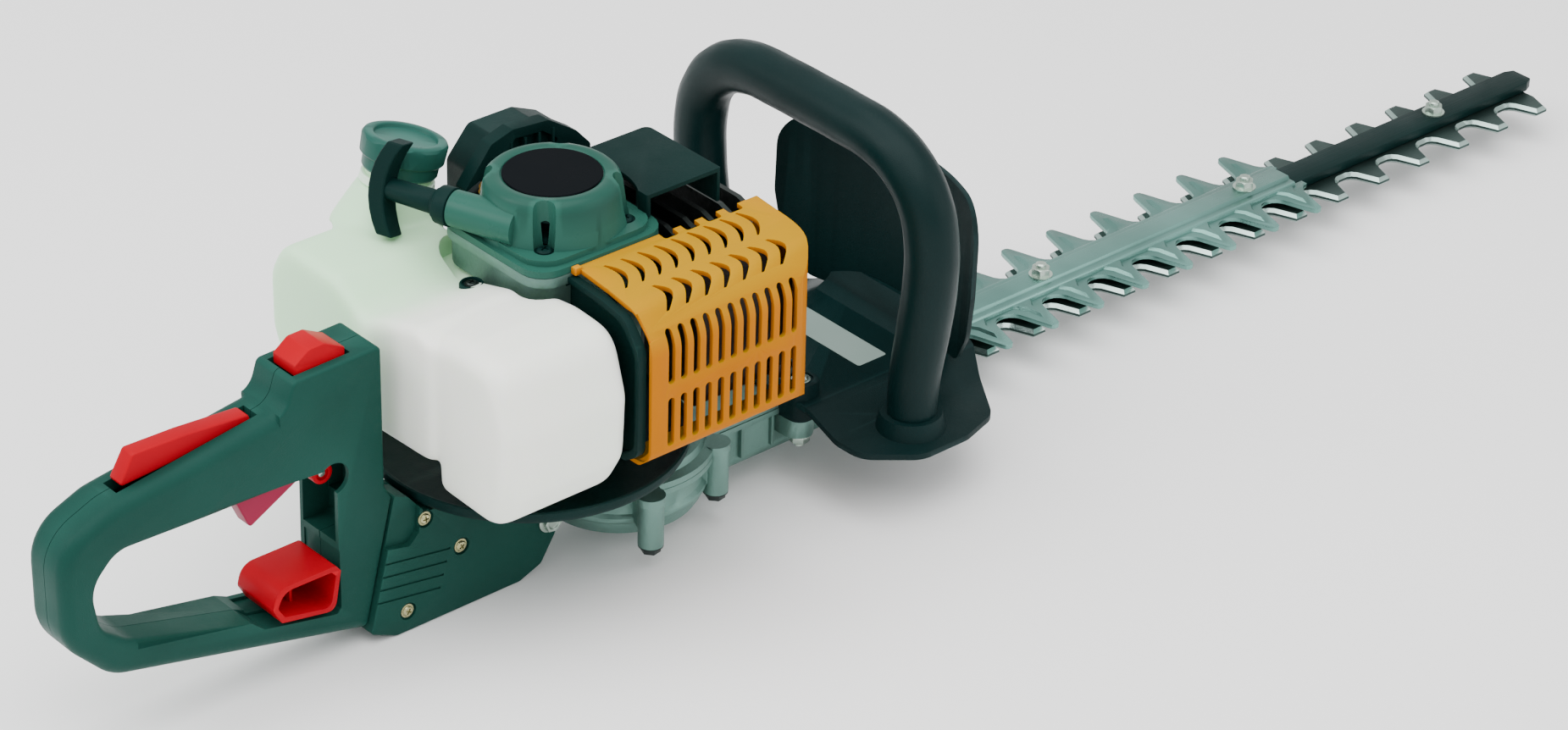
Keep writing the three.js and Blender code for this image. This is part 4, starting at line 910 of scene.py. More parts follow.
@dataclass
class Engine:
    """The housings round the crankshaft, the recoil starter on top and the tray below."""

    fasteners: Fasteners
    crank: Flat = (-224.0, 0.0)
    half: float = 41.5
    rope_start: Flat = (-252.92, -10.29)
    rope_way: Flat = (-0.33506, 0.94219)
    rope_z: float = 200.0

    def build(self) -> None:
        """Make the engine's outer pieces."""
        self._fan_housing()
        self._starter()
        self._badge()
        self._rope_outlet()
        self._pull_rope()
        self._grip()
        self._cylinder_cover()
        self._tray()

    def _rope(self, along: float, z: float | None = None) -> Point:
        """A point on the rope's line."""
        return (self.rope_start[0] + self.rope_way[0] * along, self.rope_start[1] + self.rope_way[1] * along,
                self.rope_z if z is None else z)

    def _fan_housing(self) -> None:
        """The cast housing round the flywheel, with a lip where the starter sits."""
        x, y = self.crank
        shape = block((x - self.half, x + self.half), (y - self.half, y + self.half), 14.0)
        piece = slab("visual_fan_housing", block((x - 39.5, x + 39.5), (y - 39.5, y + 39.5), 13.0), Plane.PLAN,
                     (165.3, 182.0))
        lip = slab("lip", shape, Plane.PLAN, (180.0, 185.5))
        room = bar("room", (x, y, 167.3), (x, y, 200.0), 36.5, sides=56)
        hole = bar("hole", (x, y, 160.0), (x, y, 200.0), 8.0, sides=24)
        bay = slab("bay", block((x + 35.5, x + 60.0), (-16.0, 16.0), 0.0), Plane.PLAN, (165.0, 178.0))
        piece = soften(cut(fuse(piece, lip), room, hole, bay), 1.0, 2)
        dress(piece, CAST, "chassis", "cast_aluminium", "fan_housing")

    def _starter(self) -> None:
        """The starter's housing: a drafted dome on a square flange, with grooves for its screws."""
        x, y = self.crank
        dome = turned("visual_starter_housing", [
            (0.0, 185.8), (39.2, 185.8), (38.6, 190.0), (36.6, 200.0), (35.2, 211.0), (34.2, 214.4),
            (32.2, 216.4), (30.0, 217.0), (26.6, 216.9), (25.8, 216.2), (25.7, 215.8), (0.0, 215.8)],
            self.crank, 96)
        flange = slab("flange", block((x - self.half, x + self.half), (y - self.half, y + self.half), 14.0),
                      Plane.PLAN, (185.8, 189.4))
        skirt = slab("skirt", block((x - 38.0, x + 38.0), (y - 38.0, y + 38.0), 15.0), Plane.PLAN,
                     (189.0, 192.6))
        boss = bar("boss", self._rope(0.0), self._rope(37.8), 10.2, 9.4, 36)
        piece = fuse(dome, flange, skirt, boss)
        for sx in (-1.0, 1.0):
            for sy in (-1.0, 1.0):
                groove = bar("groove", (x + sx * 25.5, y + sy * 25.5, 191.0),
                             (x + sx * 25.5, y + sy * 25.5, 230.0), 5.2, 6.6, 24)
                piece = cut(piece, groove)
        inside = turned("inside", [(0.0, 180.0), (31.0, 180.0), (31.0, 205.0), (26.0, 212.0), (0.0, 212.0)],
                        self.crank, 56)
        rope_way = bar("rope_way", self._rope(-4.0), self._rope(60.0), 4.2, sides=20)
        piece = soften(cut(piece, inside, rope_way), 1.1, 3, 40.0)
        dress(piece, GREY, "chassis", "grey_plastic", "starter_housing")
        for i, (sx, sy) in enumerate(((-1, -1), (1, -1), (-1, 1), (1, 1))):
            self.fasteners.put("pan", f"starter_screw_{i}", (x + sx * 25.5, y + sy * 25.5, 191.2),
                               (0.0, 0.0, 1.0), BLACK, "chassis")

    def _badge(self) -> None:
        """The plain glossy disc on the starter."""
        piece = turned("visual_starter_badge", [
            (0.0, 216.0), (25.3, 216.0), (25.3, 216.5), (24.9, 216.9), (0.0, 216.9)], self.crank, 96)
        dress(shade(piece), DISC, "chassis", "badge", "starter_badge")

    def _rope_outlet(self) -> None:
        """The collar that guides the rope out."""
        piece = bar("visual_rope_guide", self._rope(38.4), self._rope(46.0), 10.2, 9.9, 40)
        nose = bar("nose", self._rope(45.0), self._rope(48.2), 9.0, 8.0, 40)
        hole = bar("hole", self._rope(30.0), self._rope(60.0), 3.4, sides=20)
        piece = soften(cut(fuse(piece, nose), hole), 0.9, 3)
        dress(piece, BLACK, "chassis", "black_plastic", "rope_guide")

    def _pull_rope(self) -> None:
        """The rope, held by the outlet at one end and by the grip at the other."""
        knots = (10.0, 24.0, 34.0, 40.0, 43.0, 46.0, 49.0, 52.0, 60.0)
        piece = tube("visual_starter_rope", [self._rope(along) for along in knots], 1.8)
        piece.data.materials.clear()
        piece.data.materials.append(ROPE.material())
        shade(piece, 60.0)
        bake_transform(piece)
        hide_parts("starter_rope")
        LOG.info("made %s", piece.name)

    def _grip(self) -> None:
        """The starter's grip: a stem, and a bowed bar with rounded ends."""
        centre = Vector(self._rope(77.0, self.rope_z + 1.0))
        way = Vector((*self.rope_way, 0.0))
        lean = math.radians(15.0)
        across = Vector((way.y, -way.x, 0.0))
        up = Vector((0.0, 0.0, 1.0)) * math.cos(lean) + across * math.sin(lean)
        bpy.ops.object.select_all(action="DESELECT")
        bpy.ops.mesh.primitive_cube_add(size=1.0)
        piece = bpy.context.object
        piece.name = "visual_starter_grip"
        bpy.ops.object.mode_set(mode="EDIT")
        bpy.ops.mesh.select_all(action="SELECT")
        bpy.ops.mesh.subdivide(number_cuts=7)
        bpy.ops.object.mode_set(mode="OBJECT")
        side = up.cross(way)
        for vertex in piece.data.vertices:
            a, b, c = vertex.co
            bow = 3.6 - 7.6 * (2 * c) ** 2
            slim = 1.0 - 0.12 * abs(2 * c) ** 3
            place = centre + way * (bow + a * 9.4) + side * (b * 12.2 * slim) + up * (c * 48.6)
            vertex.co = place * MM
        alone(piece)
        bpy.ops.object.mode_set(mode="EDIT")
        bpy.ops.mesh.select_all(action="SELECT")
        bpy.ops.mesh.normals_make_consistent(inside=False)
        bpy.ops.object.mode_set(mode="OBJECT")
        piece = soften(piece, 2.6, 4, 50.0)
        stem = soften(bar("stem", self._rope(48.7), self._rope(76.0), 6.4, 5.7, 32), 0.6, 2)
        piece = shade(fuse(piece, stem), 45.0)
        dress(piece, BLACK, "starter_grip", "black_plastic", "starter_grip")

    def _cylinder_cover(self) -> None:
        """The cover over the cylinder, open on its right side."""
        piece = slab("visual_cylinder_cover", rounded([
            (-187.0, -29.0, 1.0), (-139.0, -29.0, 1.0), (-139.0, 29.0, 4.0), (-187.0, 29.0, 4.0)], 4),
            Plane.PLAN, (184.0, 203.0))
        room = slab("room", block((-184.6, -141.4), (-40.0, 26.6), 1.0), Plane.PLAN, (170.0, 200.6))
        dome = bar("dome", (*self.crank, 170.0), (*self.crank, 230.0), 43.0, sides=72)
        flange = slab("flange", block((-190.0, -182.2), (-50.0, 50.0), 0.0), Plane.PLAN, (170.0, 190.4))
        piece = soften(cut(piece, room, dome, flange), 1.0, 3)
        dress(piece, BLACK, "chassis", "black_plastic", "cylinder_cover")

    def _tray(self) -> None:
        """The curved tray below the tank, with its turned-up rim."""
        piece = turned("visual_engine_tray", [
            (0.0, 68.6), (78.0, 68.6), (81.6, 69.6), (83.0, 72.0), (83.0, 75.4), (82.2, 76.0), (80.8, 75.6),
            (80.4, 73.0), (78.6, 71.9), (0.0, 71.9)], (-241.0, 0.0), 96)
        hole = bar("hole", (*self.crank, 60.0), (*self.crank, 90.0), 34.4, sides=64)
        dress(shade(cut(piece, hole)), BLACK, "chassis", "black_plastic", "engine_tray")


# ---------------------------------------------------------------- fuel and intake


@dataclass
class FuelSystem:
    """The two-lobed tank, its cap and the air cleaner."""

    fasteners: Fasteners
    cap_top: Point = (-251.0, 84.2, 211.7)
    cap_radius: float = 22.3
    tilt: float = 15.0

    def build(self) -> None:
        """Make the tank, the cap and the air cleaner."""
        self._tank()
        self._cap()
        self._air_cleaner()
        self._nipple()
        bush = turned("tank_bush", [(0.0, 158.0), (6.4, 158.0), (6.4, 168.6), (5.8, 169.4), (5.0, 169.4),
                                    (4.8, 168.0), (0.0, 168.0)], (-272.0, 4.0), 36)
        dress(shade(bush), BLACK, "chassis", "black_plastic")
        self.fasteners.put("small", "tank_screw", (-272.0, 4.0, 168.0), (0.0, 0.0, 1.0), STEEL, "chassis")

    def _down(self, depth: float, out: float = 0.0) -> Point:
        """A point on the filler's tilted line, measured down from the cap's top."""
        lean = math.radians(self.tilt)
        x, y, z = self.cap_top
        return (x - depth * math.sin(lean) + out * math.cos(lean), y, z - depth * math.cos(lean))

    def _lobe(self, name: str, corners: list[Corner], x: Flat) -> Piece:
        """One lobe, with generous rounds all over."""
        piece = slab(name, rounded(corners, 5), Plane.END, x)
        apply(piece, "BEVEL", width=12.0 * MM, segments=5, limit_method="ANGLE",
              angle_limit=math.radians(50.0), use_clamp_overlap=True)
        return piece

    def _tank(self) -> None:
        """The blow-moulded tank: two lobes with a valley between, faired together."""
        right = self._lobe("visual_fuel_tank", [
            (-96.5, 143.0, 16.0), (-94.5, 108.0, 16.0), (-82.0, 86.4, 14.0), (-34.0, 88.0, 14.0),
            (-10.0, 112.0, 16.0), (-6.0, 150.0, 16.0), (-14.0, 173.0, 12.0), (-56.0, 178.6, 10.0),
            (-86.0, 177.0, 18.0)], (-327.0, -250.6))
        plan = slab("plan", rounded([(-340.0, -110.0, 0), (-340.0, -46.0, 0), (-312.0, -34.0, 14),
                                     (-262.0, 4.0, 10), (-240.0, 8.0, 0), (-240.0, -110.0, 0)], 5),
                    Plane.PLAN, (60.0, 200.0))
        right = common(right, plan)
        left = self._lobe("left_lobe", [
            (-40.0, 104.0, 10.0), (60.0, 100.4, 16.0), (88.0, 104.0, 18.0), (97.5, 124.0, 16.0),
            (97.5, 157.0, 20.0), (86.0, 176.0, 16.0), (44.0, 174.4, 12.0), (31.0, 167.5, 6.0),
            (20.0, 161.0, 6.0), (4.0, 168.0, 10.0), (-24.0, 176.0, 10.0), (-40.0, 172.0, 6.0)], (-329.6, -250.6))
        hump = bar("hump", self._down(52.0), self._down(26.0), 31.0, 19.5, 56)
        hump = common(hump, slab("side", block((-330.0, -220.0), (30.0, 105.4), 0.0), Plane.PLAN, (60.0, 240.0)))
        piece = fuse(right, left, hump)
        apply(piece, "REMESH", mode="VOXEL", voxel_size=1.7 * MM, use_smooth_shade=True)
        apply(piece, "SMOOTH", factor=0.5, iterations=14)
        neck = soften(bar("neck", self._down(42.0), self._down(14.0), 17.2, 16.8, 48), 0.8, 2)
        collar = bar("collar", self._down(26.0), self._down(22.0), 19.6, 19.2, 48)
        engine = bar("engine", (-224.0, 0.0, 40.0), (-224.0, 0.0, 240.0), 37.0, sides=72)
        fan = slab("fan", block((-268.0, -100.0), (-44.0, 44.0), 12.0), Plane.PLAN, (162.0, 240.0))
        piece = cut(piece, engine, fan)
        piece = shade(fuse(piece, neck, collar), 38.0)
        dress(piece, MILKY, "chassis", "tank_plastic", "fuel_tank")

    def _cap(self) -> None:
        """The filler cap: two steps, a lobed edge and a recessed top."""
        r = self.cap_radius
        profile = [(0.0, -19.4), (16.8, -19.4), (18.8, -19.0), (19.6, -17.8), (19.8, -12.4), (21.0, -11.6),
                   (21.8, -10.8), (r, -2.2), (r - 0.9, -0.6), (r - 2.4, 0.0), (r - 5.2, 0.0), (r - 5.8, -0.5),
                   (r - 6.2, -2.0), (0.0, -2.0)]
        piece = turned("visual_fuel_cap", profile, (0.0, 0.0), 96)
        inside = bar("inside", (0.0, 0.0, -24.0), (0.0, 0.0, -13.0), 17.5, sides=48)
        piece = cut(piece, inside)
        for i in range(8):
            angle = math.radians(22.5 + i * 45.0)
            flat = slab("flat", block((r - 0.55, r + 6.0), (-6.2, 6.2), 0.0), Plane.PLAN, (-10.9, 2.0))
            flat.data.transform(Matrix.Rotation(angle, 4, "Z"))
            piece = cut(piece, flat)
        piece = soften(piece, 0.45, 2, 30.0)
        turn = Matrix.Rotation(math.radians(self.tilt), 4, "Y")
        piece.data.transform(Matrix.Translation(Vector(self.cap_top) * MM) @ turn)
        dress(piece, CAP, "fuel_cap", "grey_plastic", "fuel_cap")

    def _air_cleaner(self) -> None:
        """The angular cover of the air cleaner, with its stiffening ribs."""
        front = rounded([(-238.0, 188.0, 2.0), (-221.0, 209.0, 4.0), (-207.0, 213.0, 3.0), (-184.0, 211.0, 4.0),
                         (-166.0, 199.0, 4.0), (-157.0, 189.0, 3.0), (-156.0, 112.0, 6.0),
                         (-224.0, 111.0, 6.0), (-226.0, 168.0, 6.0)], 4)
        piece = slab("visual_air_cleaner_cover", front, Plane.SIDE, (53.0, 61.2))
        back = slab("back", rounded([(-226.0, 112.0, 5.0), (-156.0, 112.0, 5.0), (-157.0, 188.0, 4.0),
                                     (-168.0, 199.0, 4.0), (-184.0, 206.0, 4.0), (-212.0, 206.0, 5.0),
                                     (-226.0, 190.0, 5.0)], 4), Plane.SIDE, (60.0, 84.0))
        hump = slab("hump", rounded([(-214.0, 122.0, 6.0), (-168.0, 122.0, 6.0), (-170.0, 186.0, 6.0),
                                     (-210.0, 186.0, 6.0)], 4), Plane.SIDE, (83.0, 91.0))
        room = slab("room", block((-223.6, -159.0), (112.4, 187.0), 2.0), Plane.SIDE, (40.0, 81.6))
        window = slab("window", rounded([(-214.0, 196.0, 2.0), (-206.0, 207.5, 2.0), (-188.0, 206.0, 2.0),
                                         (-176.0, 197.0, 2.0), (-190.0, 193.0, 2.0)], 3), Plane.SIDE,
                      (50.0, 56.0))
        hole = bar("hole", (-197.0, 70.0, 165.0), (-197.0, 99.0, 165.0), 4.0, sides=24)
        piece = soften(cut(fuse(piece, back, hump), room, window, hole), 1.2, 3)
        ribs = [slab(f"rib_{i}", block((-209.0 + i * 9.0, -207.6 + i * 9.0), (194.0, 206.0), 0.3), Plane.SIDE,
                     (52.6, 56.5)) for i in range(4)]
        piece = gather(piece, *ribs)
        dress(piece, BLACK, "chassis", "black_plastic", "air_cleaner_cover")

    def _nipple(self) -> None:
        """The brass fuel pipe stub beside the starter, and the thin pipe on it."""
        stub = turned("stub", [(0.0, 0.0), (2.6, 0.0), (2.6, 3.0), (3.4, 3.4), (3.4, 6.0), (2.2, 6.6),
                               (2.2, 12.0), (1.4, 12.6), (0.0, 12.6)], (0.0, 0.0), 28)
        piece = copy_to(stub, "fuel_stub", (-229.0, 45.5, 193.0), (-0.75, -0.6, 0.1))
        bpy.data.objects.remove(stub)
        dress(shade(piece, 30.0), BRASS, "chassis", "zinc_steel")
        pipe = tube("fuel_pipe", [(-232.0, 46.0, 193.0), (-240.0, 47.0, 188.0), (-246.0, 48.0, 178.0),
                                  (-247.0, 49.0, 166.0)], 2.4)
        dress(shade(pipe, 60.0), RUBBER, "chassis", "rubber")


# ---------------------------------------------------------------- exhaust guard


@dataclass
class ExhaustGuard:
    """The bright guard over the silencer, and the heat shield behind it."""

    rear: float = -242.0
    front: float = -126.0
    wall: float = 2.4

    def build(self) -> None:
        """Make the guard and the heat shield."""
        self._guard()
        self._heat_shield()

    def _shell(self, name: str, inset: float) -> Piece:
        """The guard's outer or inner form."""
        corners = [(-28.0, 189.0 - inset, 0.0), (-66.0, 185.6 - inset, 20.0), (-86.0 + inset / 2, 182.6 - inset, 14.0),
                   (-100.0 + inset, 168.0, 18.0 - inset), (-99.4 + inset, 104.0 + inset, 9.0),
                   (-90.0 + inset / 2, 96.4 + inset, 6.0), (-28.0, 96.4 + inset, 0.0)]
        body = slab(name, rounded(corners, 7), Plane.END, (self.rear, self.front - inset))
        plan = slab("plan", rounded([(-300.0, 0.0, 0.0), (-300.0, -100.2 + inset, 0.0),
                                     (self.front - inset, -100.2 + inset, 30.0 - inset),
                                     (self.front - inset, 0.0, 0.0)], 10), Plane.PLAN, (60.0, 240.0))
        return common(body, plan)

    def _crescent(self, x: float, y: float, length: float, width: float) -> Piece:
        """A curved slot through the top, bowed forward."""
        points: list[Flat] = []
        for i in range(9):
            t = i / 8.0
            bow = 3.4 * math.sin(math.pi * t)
            points.append((x - 3.2 * t + bow, y - length * (t - 0.5)))
        for i in range(9):
            t = 1.0 - i / 8.0
            bow = 3.4 * math.sin(math.pi * t)
            points.append((x - 3.2 * t + bow + width * math.sin(math.pi * (0.12 + 0.76 * t)),
                           y - length * (t - 0.5)))
        return slab("crescent", points, Plane.PLAN, (160.0, 220.0))

    def _guard(self) -> None:
        """The guard with its rows of slots."""
        shell = cut(self._shell("visual_muffler_guard", 0.0), self._shell("inner", self.wall))
        shell.data.name = "visual_muffler_guard"
        open_rear = slab("open_rear", block((-97.6, 10.0), (99.0, 181.0), 8.0), Plane.END, (-260.0, -241.0))
        open_floor = slab("open_floor", block((-300.0, -60.0), (-78.0, 10.0), 0.0), Plane.PLAN, (60.0, 108.0))
        open_side = slab("open_side", block((-300.0, -60.0), (-41.8, 10.0), 0.0), Plane.PLAN, (60.0, 240.0))
        shell = cut(shell, open_rear, open_floor, open_side)
        slots: list[Piece] = []
        for i in range(11):
            x = -231.5 + i * 7.95
            slots.append(slab("slot", block((x, x + 4.1), (143.0, 172.5), 2.0), Plane.SIDE, (-120.0, -92.0)))
            slots.append(slab("slot", block((x, x + 4.1), (107.5, 135.0), 2.0), Plane.SIDE, (-120.0, -92.0)))
        for i in range(9):
            slots.append(self._crescent(-231.0 + i * 10.6, -59.0, 21.0, 3.7))
        for i in range(7):
            slots.append(self._crescent(-222.0 + i * 12.2, -82.5, 15.5, 4.8))
        for i in range(4):
            x = -190.0 + i * 14.0
            slots.append(slab("vent", block((x, x + 9.0), (-47.0, -30.0), 1.5), Plane.PLAN, (160.0, 220.0)))
        shell = soften(cut(shell, *slots), 0.4, 2, 42.0)
        nub = soften(slab("nub", block((-245.4, -241.0), (-45.0, -40.6), 0.8), Plane.PLAN, (184.8, 188.8)), 0.5, 2)
        piece = gather(shell, nub)
        dress(piece, YELLOW, "chassis", "yellow_plastic", "muffler_guard")

    def _heat_shield(self) -> None:
        """The dark panel between the tank and the guard, with a turned edge."""
        corners = [(-40.0, 184.0, 3.0), (-66.0, 182.6, 18.0), (-85.0, 179.6, 14.0), (-96.5, 166.0, 16.0),
                   (-96.0, 106.0, 9.0), (-86.0, 99.4, 5.0), (-40.0, 99.4, 3.0)]
        piece = slab("visual_heat_shield", rounded(corners, 7), Plane.END, (-247.6, -242.8))
        hollow = slab("hollow", rounded([(u + (3.0 if u < -60 else 0.0), v + (-3.0 if v > 150 else 3.0), r)
                                         for u, v, r in corners], 7), Plane.END, (-250.0, -244.6))
        dress(soften(cut(piece, hollow), 0.5, 2), BLACK, "chassis", "black_plastic", "heat_shield")


# ---------------------------------------------------------------- front handle, plate and shield


@dataclass
class FrontGrip:
    """The loop handle, the plate it stands on and the shield in front of it."""

    fasteners: Fasteners
    loop_x: float = -50.0
    tube: float = 14.4
    foot: float = 81.0

    def build(self) -> None:
        """Make the plate, the shield, the loop and what holds them."""
        self._plate()
        self._shield()
        self._loop()
        self._label()
        self._bolts()

    def _plate(self) -> None:
        """The dished plate, with its raised platform and bolt lugs."""
        half: list[Corner] = [(23.6, 50.0, 8.0), (-8.0, 99.0, 14.0), (-32.0, 106.2, 18.0), (-64.0, 106.2, 18.0),
                              (-89.5, 86.0, 16.0), (-92.0, 46.0, 4.0)]
        plan = rounded(half + [(u, -v, r) for u, v, r in reversed(half)], 8)
        skin: list[Corner] = [(-112.0, 40.4, 0), (-68.0, 41.4, 14), (-47.0, 51.0, 12), (47.0, 51.0, 12),
                              (68.0, 41.4, 14), (112.0, 40.4, 0)]
        under = [(u, v - 3.4, r) for u, v, r in reversed(skin)]
        piece = slab("visual_base_plate", rounded(skin + under, 6), Plane.END, (-120.0, 60.0))
        piece = common(piece, slab("plan", plan, Plane.PLAN, (20.0, 70.0)))
        for side in (-1.0, 1.0):
            tower = slab("tower", rounded([(-93.0, side * 22.0, 0.0), (-93.0, side * 41.0, 7.0),
                                           (-75.0, side * 41.0, 7.0), (-75.0, side * 22.0, 0.0)], 6), Plane.PLAN,
                         (38.4, 60.0))
            recess = bar("recess", (-84.0, side * 32.0, 59.0), (-84.0, side * 32.0, 70.0), 6.6, sides=32)
            collar = bar("collar", (self.loop_x, side * self.foot, 40.6), (self.loop_x, side * self.foot, 50.4),
                         18.6, 16.6, 48)
            piece = cut(fuse(piece, tower, collar), recess)
        piece = soften(piece, 1.1, 3, 34.0)
        dress(piece, SHIELD, "chassis", "dark_plastic", "base_plate")

    def _shield(self) -> None:
        """The bowed shield, with its corners faired into the plate."""
        corners: list[Corner] = [(-46.0, 50.6, 0), (-60.0, 52.0, 10), (-74.0, 74.0, 24), (-78.4, 100.0, 30),
                                 (-78.0, 149.6, 22), (-40.0, 150.6, 30)]
        face = rounded(corners + [(-u, v, r) for u, v, r in reversed(corners)], 8)
        piece = slab("visual_hand_shield", face, Plane.END, (-14.0, 22.0))
        outer = bar("outer", (-138.0, 0.0, 20.0), (-132.0, 0.0, 240.0), 153.0, sides=240)
        inner = bar("inner", (-138.0, 0.0, 0.0), (-132.0, 0.0, 260.0), 150.0, sides=240)
        piece = soften(common(piece, cut(outer, inner)), 0.9, 3, 30.0)
        fillets: list[Piece] = []
        for side in (-1.0, 1.0):
            ramp = slab("ramp", rounded([(14.4, 50.4, 0), (-6.0, 50.4, 0), (4.0, 55.0, 6), (11.0, 64.0, 0),
                                         (14.6, 64.0, 0)], 5), Plane.SIDE, (min(0.0, side * 46.0), max(0.0, side * 46.0)))
            ramp.data.transform(Matrix.Identity(4))
            fillets.append(ramp)
        ramp = fuse(fillets[0], fillets[1])
        keep = bar("keep", (-138.0, 0.0, 20.0), (-132.0, 0.0, 240.0), 151.0, sides=240)
        ramp = shade(common(ramp, keep), 40.0)
        dress(ramp, SHIELD, "chassis", "dark_plastic")
        ramp.name = "shield_ramp"
        dress(piece, SHIELD, "chassis", "dark_plastic", "hand_shield")

    def _loop(self) -> None:
        """The loop handle: one bent tube, slimmer towards its feet."""
        x = self.loop_x
        side = [(x, 81.0, 41.0), (x, 82.6, 70.0), (x, 88.0, 104.0), (x, 91.5, 132.0), (x, 91.1, 156.0),
                (x, 85.4, 175.0), (x, 72.0, 190.0), (x, 52.0, 198.4), (x, 24.0, 200.3)]
        path = [(a, -b, c) for a, b, c in side] + [(x, 0.0, 200.4)] + list(reversed(side))
        piece = tube("visual_front_handle", path, self.tube)
        for vertex in piece.data.vertices:
            z = vertex.co.z / MM
            if z < 110.0:
                slim = 1.0 - 0.10 * (110.0 - z) / 70.0
                centre_y = math.copysign(81.0 + (z - 41.0) * 0.107, vertex.co.y) * MM
                vertex.co.x = x * MM + (vertex.co.x - x * MM) * slim
                vertex.co.y = centre_y + (vertex.co.y - centre_y) * slim
        dress(shade(piece, 60.0), LOOP, "chassis", "dark_plastic", "front_handle")

    def _label(self) -> None:
        """A plain film strip on the platform."""
        piece = slab("label_strip", block((-42.0, -22.0), (-31.0, 45.0), 1.5), Plane.PLAN, (51.02, 51.3))
        dress(soften(piece, 0.1, 1), LABEL, "chassis", "zinc_steel")

    def _bolts(self) -> None:
        """The bolts that hold the plate to the gear case, and the nuts below."""
        for name, side in (("plate_bolt_right", -1.0), ("plate_bolt_left", 1.0)):
            y = side * 32.0
            self.fasteners.put("pan", "visual_" + name, (-84.0, y, 59.2), (0.0, 0.0, 1.0), ZINC, "chassis",
                               nodes=(name,))
            self.fasteners.put("nut", name + "_nut", (-84.0, y, 26.8), (0.0, 0.0, -1.0), ZINC, "chassis")


# ---------------------------------------------------------------- rear handle


